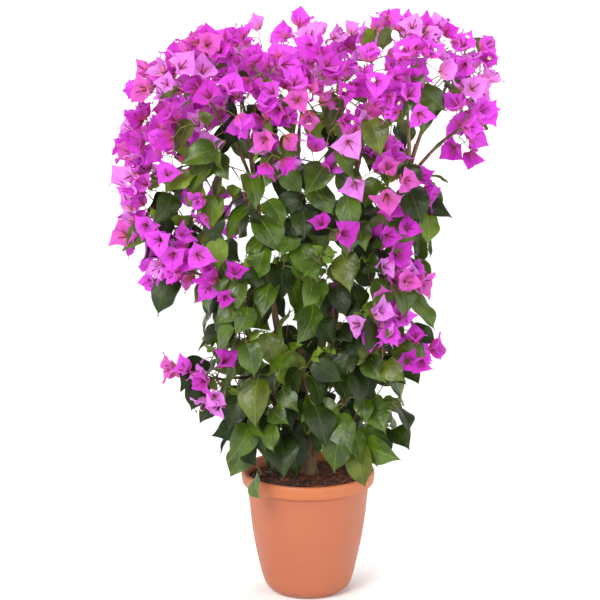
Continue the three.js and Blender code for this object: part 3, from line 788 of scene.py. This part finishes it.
def seededDraws(seed):
    # even draws between 0 and 1, the same as in the model
    mask = 0xFFFFFFFF
    state = seed & mask

    def draw():
        nonlocal state
        state = (state + 0x6D2B79F5) & mask
        t = ((state ^ (state >> 15)) * (state | 1)) & mask
        t ^= (t + (((t ^ (t >> 7)) * (t | 61)) & mask)) & mask
        return ((t ^ (t >> 14)) & mask) / 4294967296

    return draw


def insideCell(index, place, margin):
    # whether a place is nearer to this mass than to any other, weighed by size
    power = ((np.array(place) - centres) ** 2).sum(axis=1) - weights
    lead = power - power[index] - 2 * margin * apart[index]
    lead[index] = 0
    return lead.min() >= 0


def outwards(place):
    out = Vector((place[0] / bush["halfWidth"] ** 2, place[1] / bush["halfDepth"] ** 2, 0))
    return out.normalized() if out.length > 1e-6 else Vector((0, -1, 0))


def clearTwig(index, at, reach, start, end, limbSpots):
    # whether a twig keeps to its mass and clear of the limbs
    for step in range(9):
        place = start.lerp(end, step / 8)
        far = math.sqrt(sum(((place[k] - at[k]) / reach[k]) ** 2 for k in range(3)))
        if not insideCell(index, place, -overhang) or far > fullReach:
            return False
        far = np.linalg.norm(limbSpots[:, :3] - np.array(place), axis=1)
        if (far < limbSpots[:, 3] + limbGap).any():
            return False
    return True


def growMass(index, limbSpots, nearSpots):
    # a mass's own stem, and its twigs with the places for leaves and blossoms
    draw = seededDraws(1000 + 77 * index)
    kind, at, reach = list(masses.values())[index]
    twigCount, bloom, forwards, rises = kinds[kind]
    centre = Vector(at)
    near = [spot for spot in nearSpots if insideCell(index, spot, 0.001)]
    foot = min(near, key=lambda spot: (spot - centre).length)
    lean = (centre.x / 0.7, centre.y / 0.35 - forwards * 0.75, rises * 0.75)
    tip = centre + Vector([lean[k] * reach[k] for k in range(3)])
    stem = bowed(foot, tip, 0.006)
    twigs = []
    startTurn = draw() * fullTurn
    for k in range(twigCount):
        turn = startTurn + k * goldenAngle
        spread = 0.94 * math.sqrt((k + 0.6) / twigCount)
        left = math.sqrt(1 - twigDepth["lost"] * spread * spread)
        depth = (1 if k % 2 else -1) * left * (twigDepth["least"] + twigDepth["drawn"] * draw())
        marks = []
        for along in twigSpots[:2 if k % 2 else 3]:
            # a mark's fourth draw is for the model only
            blooms, size, yaw, _, roll = draw() < bloom, draw(), draw() * 2 - 1, draw(), draw() * 2 - 1
            marks.append({"along": along, "blossom": blooms, "size": size, "yaw": yaw, "roll": roll})
        for swing, side in twigWays:
            across, rise = spread * math.cos(turn + swing), spread * math.sin(turn + swing)
            end = centre + Vector((across * reach[0], depth * side * reach[1], rise * reach[2]))
            start = onCurve(stem, 0.3 + 0.31 * (rise + 1))
            if clearTwig(index, at, reach, start, end, limbSpots):
                twigs.append((start, end, marks))
                break
    return stem, twigs


# Leaves, blossoms and the finer twigs that carry them

def bladePlan(rows, cells, widest, sharp, drawn, late, ruffle, arch):
    # the outline of a blade, from its stalk to its drawn-out tip, as shares of its half width
    even = np.linspace(0, 1, rows + 2)
    along = 0.55 * even + 0.45 * (0.5 - 0.5 * np.cos(math.pi * even))
    power = math.log(0.5) / math.log(widest)
    nearTip = ((along - 0.5) / 0.5).clip(0, 1)
    outline = np.sin(math.pi * along ** power).clip(0) ** sharp * (1 - drawn * nearTip ** late)
    outline = outline / outline.max()
    return {"rows": rows, "cells": cells, "along": along, "outline": outline, "ruffle": ruffle, "arch": arch}


leaf = {
    "shape": bladePlan(18, 6, 0.35, 0.63, 0.98, 1.5, 0.03, 0.5),
    "shortest": 0.056,
    "longest": 0.092,
    "shorterAbove": 0.016,
    "halfWidthShare": 0.336,
    "stalk": (0.010, 0.020),
    "stalkRadius": 0.0008,
    "bend": ((0.3, 0.5), (-0.2, -0.45), (-0.3, -0.8)),
    "fold": (0.08, 0.42),
    "wave": (0.0009, 0.0034),
    "lean": (0.12, 0.62),
    "sway": 0.21,
    "apart": 0.046,
    # how near the bush's centre plane a leaf is dealt the darker greens of painted shade
    "innerDepth": 0.05,
}
# where a leaf finds no room: how much further it turns and lifts, and how much smaller it gets
leafTries = ((0, 0, 1), (0.4, 0.3, 1), (-0.4, 0.3, 0.95), (0.8, 0.5, 0.85), (-0.8, 0.6, 0.8), (0, 0.9, 0.65))
leafShoot = {"length": (0.026, 0.050), "radius": 0.0010, "up": 0.65, "down": 0.3, "young": 0.4}
youngLeaf = {"count": (2, 4), "length": (0.016, 0.034), "tip": 0.018}
# small leaves by a blossom's shoot, and high up in a mass: the least length, and how much more it may be
smallLeaf = {"bySpray": (0.020, 0.016), "high": (0.034, 0.014)}
sideLeaf = {
    "stems": ("stem_far_left", "stem_far_right"),
    "shares": (0.16, 0.9),
    "count": 44,
    "shoot": (0.014, 0.046),
    "length": (0.050, 0.080),
    "swung": 1.5,
    "turned": 1.1,
}
bract = {
    "shape": bladePlan(13, 6, 0.39, 0.74, 0.93, 1.12, 0.05, 0.35),
    "length": (0.033, 0.044),
    "halfWidthShare": 0.41,
    "fold": (0.02, 0.30),
    "wave": (0.0012, 0.0034),
    "opens": (0.15, 0.60),
    "flares": (0.65, 1.5),
    "turnedAway": 0.75,
}
flower = {
    "tubeLength": (0.018, 0.028),
    "tubeRadius": 0.0010,
    "tubeTilt": (0.14, 0.34),
    "starRadius": 0.0052,
    "starShare": 0.13,
}
shoot = {
    "length": (0.016, 0.034),
    "stalk": (0.016, 0.027),
    "spread": (0.85, 1.15),
    "radius": 0.0008,
    "apart": 0.020,
    "leafy": 0.22,
    "threes": 0.72,
}
twig = {"radius": (0.0017, 0.0008), "rise": 0.07, "bow": 0.16}
massStemRadius = (0.0028, 0.0017)
# the height from which a mass's leaves get fewer, and over how much height
upper = {"from": 0.45, "over": 0.38, "fewer": 0.6}
room = {
    "proud": 0.006,
    "potGap": 0.003,
    "soilGap": 0.004,
    "lowest": 0.203,
    "cornerFrom": 0.20,
    "cornerSlope": 0.36,
}

# how often each tint is dealt to a spray
leafTints = {"deep": 0.23, "green": 0.53, "olive": 0.19, "fresh": 0.05}
# leaves near the bush's centre plane are dealt mostly the shade and deep greens, as painted shade
shadedInnerTints = {"shade": 0.56, "deep": 0.30, "green": 0.14}
bractTints = {"magenta": 0.50, "deep": 0.19, "light": 0.22, "salmon": 0.09}
# below a mass's middle, blossoms are dealt more deep pink as painted shade, and more salmon; above it, more
# light pink as painted light
shadedLowerBracts = {**bractTints, "deep": 0.39, "salmon": 0.17}
litUpperBracts = {**bractTints, "light": 0.34}

# how often a place for a blossom bears leaves instead, by kind of mass
leafier = {"crown": 0.34, "edge": 0.34, "cascade": 0.5, "spray": 0.28, "sprig": 0.2}

# each green: its dark and light blotches, its veins, its roughness, its shine and the light let through
greens = {
    # the darkest green, painted shade for leaves deep in the bush
    "shade": ((12, 24, 1), (24, 42, 1), (58, 78, 20), 0.48, 0.2, 0.14),
    "deep": ((18, 32, 1), (34, 52, 2), (78, 100, 28), 0.37, 0.34, 0.14),
    "green": ((40, 62, 1), (70, 97, 8), (122, 142, 54), 0.34, 0.45, 0.14),
    "olive": ((53, 64, 2), (85, 98, 13), (128, 138, 56), 0.34, 0.45, 0.14),
    "fresh": ((74, 100, 8), (102, 128, 18), (150, 168, 66), 0.42, 0.4, 0.22),
}
# each pink: its edge, its heart and its veins
pinks = {
    "magenta": ((236, 92, 242), (214, 106, 134), (204, 48, 196)),
    "deep": ((218, 58, 216), (184, 72, 96), (168, 28, 156)),
    "light": ((238, 152, 244), (228, 148, 162), (214, 92, 212)),
    "salmon": ((228, 104, 212), (214, 134, 72), (198, 66, 150)),
}
# each other piece: its slot, its finish with two tones, and the grain's scale and roughness
plainPieces = {
    "flower_tubes": ("blossom", "flower_tube", (96, 22, 58), (158, 54, 92), 300.0, 0.6),
    "open_flowers": ("blossom", "cream", (238, 232, 206), (250, 246, 228), 400.0, 0.6),
    "flower_hearts": ("blossom", "yellow_heart", (212, 190, 70), (232, 214, 110), 400.0, 0.6),
    "twigs": ("bark", "twig_bark", (74, 58, 34), (124, 100, 62), 160.0, 0.75),
    "leaf_stalks": ("leaf", "green_stalk", (88, 94, 40), (128, 128, 64), 200.0, 0.6),
}
grown = {name: [] for name in plainPieces}
grown.update({"leaves_" + tint: [] for tint in greens})
grown.update({"bracts_" + tint: [] for tint in pinks})
blossomSpots, leafSpots = [], []


def dealt(dice, tints):
    pick = dice.random() * sum(tints.values())
    for tint, share in tints.items():
        pick -= share
        if pick <= 0:
            return tint
    return tint


def hasRoom(points):
    # inside the model's box, under the crown's rounded corners, and clear of the pot,
    # apart from the space above the soil
    low, high = np.array(cadBox[0]) - room["proud"], np.array(cadBox[1]) + room["proud"]
    low[2] = room["lowest"]
    if (points < low).any() or (points > high).any():
        return False
    drop = room["cornerSlope"] * (np.abs(points[:, 0]) - room["cornerFrom"]).clip(0)
    if (points[:, 2] > high[2] - drop).any():
        return False
    spread, height = np.hypot(points[:, 0], points[:, 1]), points[:, 2]
    rim, gap = pot["rimRadius"], room["soilGap"]
    besidePot = (height < pot["height"] + room["potGap"]) & (spread < rim + room["potGap"])
    overSoil = (height > soil["top"] + gap) & (spread < rim - pot["rimStep"] - gap)
    return not (besidePot & ~overSoil).any()


def crowded(middle, spots, apart):
    # whether a leaf or blossom would be too close to one that is there
    return bool(spots) and np.linalg.norm(np.array(spots) - np.array(middle), axis=1).min() < apart


def growLeaf(base, out, swing, length, roll, tint, dice, stalkShare=1.0):
    # a leaf on its stalk: it faces out, and its tip hangs down, swung to one side
    stalkLength = within(dice, leaf["stalk"]) * stalkShare
    fold, wave, phase = within(dice, leaf["fold"]), within(dice, leaf["wave"]), dice.random() * 6
    lean, sway = within(dice, leaf["lean"]), around(dice, leaf["sway"])
    first, third, last = [within(dice, pair) for pair in leaf["bend"]]
    bend = [first, -0.05, third, last]
    for turn, further, scale in leafTries:
        pointing = turned(turned(-up, out.cross(up), swing + turn), out, lean + further)
        face = out + up * 0.3
        face = (face - pointing * face.dot(pointing)).normalized()
        face = Quaternion(pointing, roll) @ face
        stalkEnd = base + (out * 0.6 + up * 0.25 + pointing * 0.5).normalized() * stalkLength
        size = length * scale
        made = blade(leaf["shape"], size, size * leaf["halfWidthShare"], bend, fold, wave, phase, sway)
        made = placed(made, stalkEnd, pointing.cross(face), pointing, face)
        middle = stalkEnd + pointing * size * 0.45
        if hasRoom(made[0]) and not crowded(middle, leafSpots, leaf["apart"] * length / leaf["longest"]):
            leafSpots.append(middle)
            line = [*bowed(base, stalkEnd, 0.0015), stalkEnd + pointing * 0.003]
            grown["leaf_stalks"].append(thinTube(line, leaf["stalkRadius"], (1.3, 1.0, 0.9, 0.7)))
            grown["leaves_" + tint].append(made)
            return True
    return False


def openFlower(centre, axis, dice):
    # five cream lobes round a yellow heart
    start = dice.random() * fullTurn
    ring = []
    for step in range(20):
        turn = step / 20 * fullTurn
        reach = flower["starRadius"] * (0.76 + 0.24 * math.cos(5 * turn))
        lift = axis * 0.0007 * math.cos(10 * turn)
        ring.append(centre + spoke(axis, start + turn) * reach + lift)
    points = np.array([*ring, centre + axis * 0.0002, centre - axis * 0.0008])
    triangles = []
    for step in range(20):
        after = (step + 1) % 20
        triangles += [(20, step, after), (21, after, step)]
    heart = [centre + axis * lift for lift in (-0.0004, 0.0006, 0.0012)]
    return (points, np.array(triangles), np.zeros((22, 2))), tube(heart, [0.0014, 0.0017, 0.0009], 7)


def growTrio(centre, axis, tint, dice):
    # a blossom: three bracts round three slender tubes, on the end of its stalk
    size = within(dice, bract["length"])
    start = dice.random() * fullTurn
    opens, flares = within(dice, bract["opens"]), within(dice, bract["flares"])
    opened = dice.random() < flower["starShare"]
    petals, tubes, star = [], [], None
    for k in range(3):
        radial = spoke(axis, start + k * fullTurn / 3 + around(dice, 0.15))
        length = size * within(dice, (0.94, 1.06))
        flare = flares + around(dice, 0.175)
        # the blade's own Y starts along the spoke; its heading lifts it towards the axis
        lean = [math.pi / 2 - less for less in (opens * 0.6, opens + 0.25, flare, flare + 0.25)]
        made = blade(
            bract["shape"], length, length * bract["halfWidthShare"], lean,
            within(dice, bract["fold"]), within(dice, bract["wave"]), dice.random() * 6,
        )
        petals.append(placed(made, centre + radial * 0.0008, radial.cross(axis), radial, axis))
        way = turned(axis, radial, within(dice, flower["tubeTilt"])).normalized()
        reach = within(dice, flower["tubeLength"])
        line = [centre + radial * 0.0012 + way * reach * share for share in (0, 0.3, 0.62, 0.9, 1.0)]
        tubes.append(thinTube(line, flower["tubeRadius"], (1.25, 0.85, 0.8, 1.3, 1.0)))
        if opened and k == 0:
            star = openFlower(line[-1] + way * 0.0005, way, dice)
    if not all(hasRoom(part[0]) for part in petals + tubes):
        return False
    if star:
        grown["open_flowers"].append(star[0])
        grown["flower_hearts"].append(star[1])
    grown["bracts_" + tint] += petals
    grown["flower_tubes"] += tubes
    return True


def growSpray(base, axis, tint, dice, threes):
    # a short shoot that ends in two or three blossoms on stalks
    count = 3 if dice.random() < threes else 2
    tip = base + axis * within(dice, shoot["length"])
    stalks = [thinTube(bowed(base, tip, 0.003), shoot["radius"], (1.4, 1.15, 1.0))]
    start = dice.random() * fullTurn
    for k in range(count):
        radial = spoke(axis, start + k * fullTurn / count)
        way = turned(axis, radial, within(dice, shoot["spread"])).normalized()
        reach = within(dice, shoot["stalk"])
        for scale in (1, 0.7, 1.35):
            centre = tip + way * reach * scale
            away = Vector([around(dice, 1) for _ in range(3)]) * bract["turnedAway"]
            facing = (way * 0.85 + axis * 0.4 + outwards(centre) * 0.2 + up * 0.1 + away).normalized()
            if not crowded(centre, blossomSpots, shoot["apart"]) and growTrio(centre, facing, tint, dice):
                stalks.append(thinTube(bowed(tip, centre, 0.001), shoot["radius"], (0.9, 0.75, 0.8)))
                blossomSpots.append(centre)
                break
    if len(stalks) > 1:
        grown["leaf_stalks"] += stalks
    if dice.random() < shoot["leafy"]:
        out = Quaternion(up, around(dice, 1)) @ outwards(base)
        young = "fresh" if dice.random() < 0.6 else "olive"
        least, more = smallLeaf["bySpray"]
        growLeaf(base, out, around(dice, 1.2), least + more * dice.random(), 0, young, dice, 0.4)


def turnedOff(way, ahead, along):
    # a way turned off the line of its twig, as much as it may be at that place
    most = 0.9 if along > 0.9 else 0.35
    same = way.dot(ahead)
    if abs(same) > most:
        way = (way - ahead * same).normalized() * math.sqrt(1 - most * most)
        way = way + ahead * math.copysign(most, same)
    return way.normalized()


def blossomAxis(mark, base, ahead, at, reach):
    off = Vector([(base[k] - at[k]) / reach[k] for k in range(3)])
    axis = (outwards(base) * 0.8 + off * 0.9 + up * 0.3).normalized()
    return turnedOff(Quaternion(up, mark["yaw"] * 0.7) @ axis, ahead, mark["along"])


def bearsLeaves(kind, base, at, reach, dice):
    # low down in the crown, on the cascade's inner side and on the sprays, leaves replace some blossoms
    low = kind in ("crown", "edge") and base.z < at[2] - 0.2 * reach[2]
    inner = kind == "cascade" and base.x > at[0] + 0.4 * reach[0]
    return (low or inner or kind in ("spray", "sprig")) and dice.random() < leafier[kind]


def growTwig(start, end, marks, mass, dice, upperShare):
    # a twig with a slight bow and a bend of its own, and what it bears
    kind, at, reach = mass
    length = (end - start).length
    side = (end - start).orthogonal().normalized() * (dice.random() - 0.5) * twig["bow"] * length
    curve = [start, start.lerp(end, 0.5) + up * twig["rise"] * length + side, end]
    grown["twigs"].append(taperedTube(curve, twig["radius"], 8, 6))
    ahead = (end - start).normalized()
    for mark in marks:
        base = onCurve(curve, mark["along"])
        if mark["blossom"] and not bearsLeaves(kind, base, at, reach, dice):
            # blossoms low in a mass take more deep pink as painted shade, those high up more light pink as
            # painted light
            tint = dealt(dice, shadedLowerBracts if base.z < at[2] else litUpperBracts)
            threes = 0 if kind == "sprig" else shoot["threes"]
            growSpray(base, blossomAxis(mark, base, ahead, at, reach), tint, dice, threes)
        elif upperShare == 1 and base.z > at[2] - 0.02:
            least, more = smallLeaf["high"]
            facing, roll = leafFacing(base, mark["yaw"]), mark["roll"]
            growLeaf(base, facing, roll, least + more * mark["size"], roll, "olive", dice, 0.6)
        else:
            growLeaves(base, mark, dice, upperShare)


def leafFacing(base, yaw):
    # leaves look to the front or to the back, and a little to the side that they are on
    ahead = -1 if base.y < 0.02 else 1
    out = Vector((base.x / bush["halfWidth"] ** 2 * 0.6, base.y / bush["halfDepth"] ** 2 + ahead * 1.4, 0))
    return Quaternion(up, yaw) @ out.normalized()


def growLeafShoot(base, tip, lift, way):
    line = bowed(base, tip, lift, way)
    grown["twigs"].append(thinTube(line, leafShoot["radius"], (1.2, 1.0, 0.8)))
    return line


def growYoungShoot(base, way, dice):
    # the soft end of a shoot, with a few small bright leaves
    end = base + (way + up * 0.4).normalized() * youngLeaf["tip"]
    grown["leaf_stalks"].append(thinTube(bowed(base, end, 0), leafShoot["radius"], (0.9, 0.8, 0.6)))
    for k in range(dice.randint(*youngLeaf["count"])):
        foot = base.lerp(end, 0.4 + 0.2 * k)
        facing = leafFacing(foot, around(dice, 1))
        swing = math.pi * within(dice, (0.35, 0.85)) * (1 if k % 2 else -1)
        length = within(dice, youngLeaf["length"])
        growLeaf(foot, facing, swing, length, around(dice, 0.5), "fresh", dice, 0.3)


def growLeaves(base, mark, dice, upperShare):
    # a large leaf at the mark, and more on side shoots that go up and down from it
    more = leaf["longest"] - leaf["shorterAbove"] * upperShare - leaf["shortest"]
    # leaves deep in the bush take darker greens, as painted shade
    tint = dealt(dice, shadedInnerTints if abs(base.y) < leaf["innerDepth"] else leafTints)
    length = leaf["shortest"] + more * mark["size"]
    facing = leafFacing(base, mark["yaw"] * 0.9)
    growLeaf(base, facing, mark["roll"] * 0.7, length, around(dice, 0.3), tint, dice)
    fewer = 1 - upper["fewer"] * upperShare
    for rise, chance, count in ((1, leafShoot["up"] * fewer, 2), (-1, leafShoot["down"] * fewer, 1)):
        if dice.random() > chance:
            continue
        out = leafFacing(base, around(dice, 0.5))
        way = (up * rise + out.cross(up) * around(dice, 0.9) + out * 0.3).normalized()
        tip = base + way * within(dice, leafShoot["length"])
        line = growLeafShoot(base, tip, 0.003, out)
        for k in range(count):
            foot = onCurve(line, 1 - 0.5 * k)
            length = leaf["shortest"] + more * dice.random() * 0.85
            swing = around(dice, 0.95)
            facing = leafFacing(foot, around(dice, 1.2))
            growLeaf(foot, facing, swing, length, around(dice, 0.4), tint, dice)
        if dice.random() < leafShoot["young"]:
            growYoungShoot(tip, way, dice)


def growSideLeaves(curves):
    # leaves on short shoots along the two outer stems, which look to the bush's narrow sides
    dice = random.Random(77)
    for name in sideLeaf["stems"]:
        outer = Vector((math.copysign(1, curves[name][-1][0]), 0, 0))
        for share in evenShares(curves[name], np.linspace(*sideLeaf["shares"], sideLeaf["count"])):
            base = onCurve(curves[name], share)
            way = Quaternion(up, around(dice, sideLeaf["swung"])) @ outer
            tip = base + (way + up * 0.4).normalized() * within(dice, sideLeaf["shoot"])
            facing = Quaternion(up, around(dice, sideLeaf["turned"])) @ outer
            length, swing = within(dice, sideLeaf["length"]), around(dice, 0.7)
            if growLeaf(tip, facing, swing, length, around(dice, 0.3), dealt(dice, leafTints), dice):
                growLeafShoot(base, tip, 0.003, up)


def growBush(curves):
    nearSpots = [spot for curve in curves.values() for spot in evenPoints(curve, 40)]
    limbSpots = []
    for name, curve in curves.items():
        radiusAt = limbRadius(name)
        limbSpots += [(*spot, radiusAt(i / 120)) for i, spot in enumerate(evenPoints(curve, 120))]
    limbSpots = np.array(limbSpots)
    twigTotal = 0
    for index, mass in enumerate(masses.values()):
        dice = random.Random(9000 + index)
        stem, twigs = growMass(index, limbSpots, nearSpots)
        grown["twigs"].append(taperedTube(stem, massStemRadius, 10, 8))
        upperShare = min(1, max(0, (mass[1][2] - upper["from"]) / upper["over"]))
        for start, end, marks in twigs:
            growTwig(start, end, marks, mass, dice, upperShare)
        twigTotal += len(twigs)
    growSideLeaves(curves)
    print("grown:", twigTotal, "twigs and", len(blossomSpots), "blossoms")


def makeFoliage():
    for tint, look in greens.items():
        makePiece("leaves_" + tint, grown["leaves_" + tint], leafFinish("leaf_" + tint, *look))
    for tint, look in pinks.items():
        makePiece("bracts_" + tint, grown["bracts_" + tint], bractFinish("bract_" + tint, *look))
    for name, (slotName, *look) in plainPieces.items():
        makePiece(name, grown[name], plainFinish(*look), masses if name == "twigs" else ())


# Camera, stage and light

cameraPlan = {"place": (-0.014, -3.0, 1.13), "pitchDown": 11.35, "lens": 105, "sensor": 36}
stagePlan = {"radius": 6.0, "bend": 1.5, "height": 3.6, "sides": 96, "glowFrom": 1.35, "glow": 0.48}
lamps = {
    "key": {"place": (-1.5, -2.6, 2.5), "size": 1.8, "power": 118, "tint": (1.0, 0.985, 0.96)},
    "fill": {"place": (2.3, -2.2, 1.3), "size": 2.2, "power": 34, "tint": (0.95, 0.98, 1.0)},
    "top": {"place": (0.2, 0.9, 2.9), "size": 1.8, "power": 54, "tint": (1.0, 1.0, 1.0)},
}
lampAim = Vector((0, 0, 0.6))
sky = {"strength": 0.28, "tint": (1.0, 1.0, 1.0)}


def makeCamera():
    camera = added("camera", bpy.data.cameras.new("camera"))
    camera.location = cameraPlan["place"]
    camera.rotation_euler = (math.radians(90 - cameraPlan["pitchDown"]), 0, 0)
    camera.data.lens = cameraPlan["lens"]
    camera.data.sensor_width = cameraPlan["sensor"]
    bpy.context.scene.camera = camera


def makeLights():
    for name, plan in lamps.items():
        lamp = added(name, bpy.data.lights.new(name, "AREA"))
        lamp.data.shape = "DISK"
        lamp.data.size = plan["size"]
        lamp.data.energy = plan["power"]
        lamp.data.color = plan["tint"]
        lamp.location = plan["place"]
        lamp.rotation_euler = (lampAim - lamp.location).to_track_quat("-Z", "Y").to_euler()
    world = bpy.data.worlds.new("studio")
    world.use_nodes = True
    background = world.node_tree.nodes["Background"]
    background.inputs["Color"].default_value = (*sky["tint"], 1)
    background.inputs["Strength"].default_value = sky["strength"]
    bpy.context.scene.world = world
    bpy.context.scene.view_settings.view_transform = "Standard"


def makeStage():
    # a round floor that bends up into a wall on all sides
    radius, bend, sides = stagePlan["radius"], stagePlan["bend"], stagePlan["sides"]
    line = [(0.35, 0.0), (1.5, 0.0), (radius - bend, 0.0)]
    for step in range(1, 13):
        turn = step / 12 * math.pi / 2
        line.append((radius - bend + bend * math.sin(turn), bend * (1 - math.cos(turn))))
    line.append((radius, stagePlan["height"]))
    points = [(0, 0, 0)]
    for reach, lift in line:
        for side in range(sides):
            turn = side / sides * fullTurn
            points.append((reach * math.cos(turn), reach * math.sin(turn), lift))
    faces = [(0, 1 + side, 1 + (side + 1) % sides) for side in range(sides)]
    for low in range(1, 1 + (len(line) - 1) * sides, sides):
        for side in range(sides):
            after = (side + 1) % sides
            faces.append((low + side, low + sides + side, low + sides + after, low + after))
    stage = added("stage", newMesh("stage", points, faces, stageFinish()))


makeCamera()
makeLights()
makeStage()
print("camera, stage and light made")
makePot()
makeSoil()
print("pot and soil made")
trunkCurve, limbCurves = planLimbs()
makeLimbs(trunkCurve, limbCurves)
print("limbs made")
growBush(limbCurves)
makeFoliage()
print("foliage made")
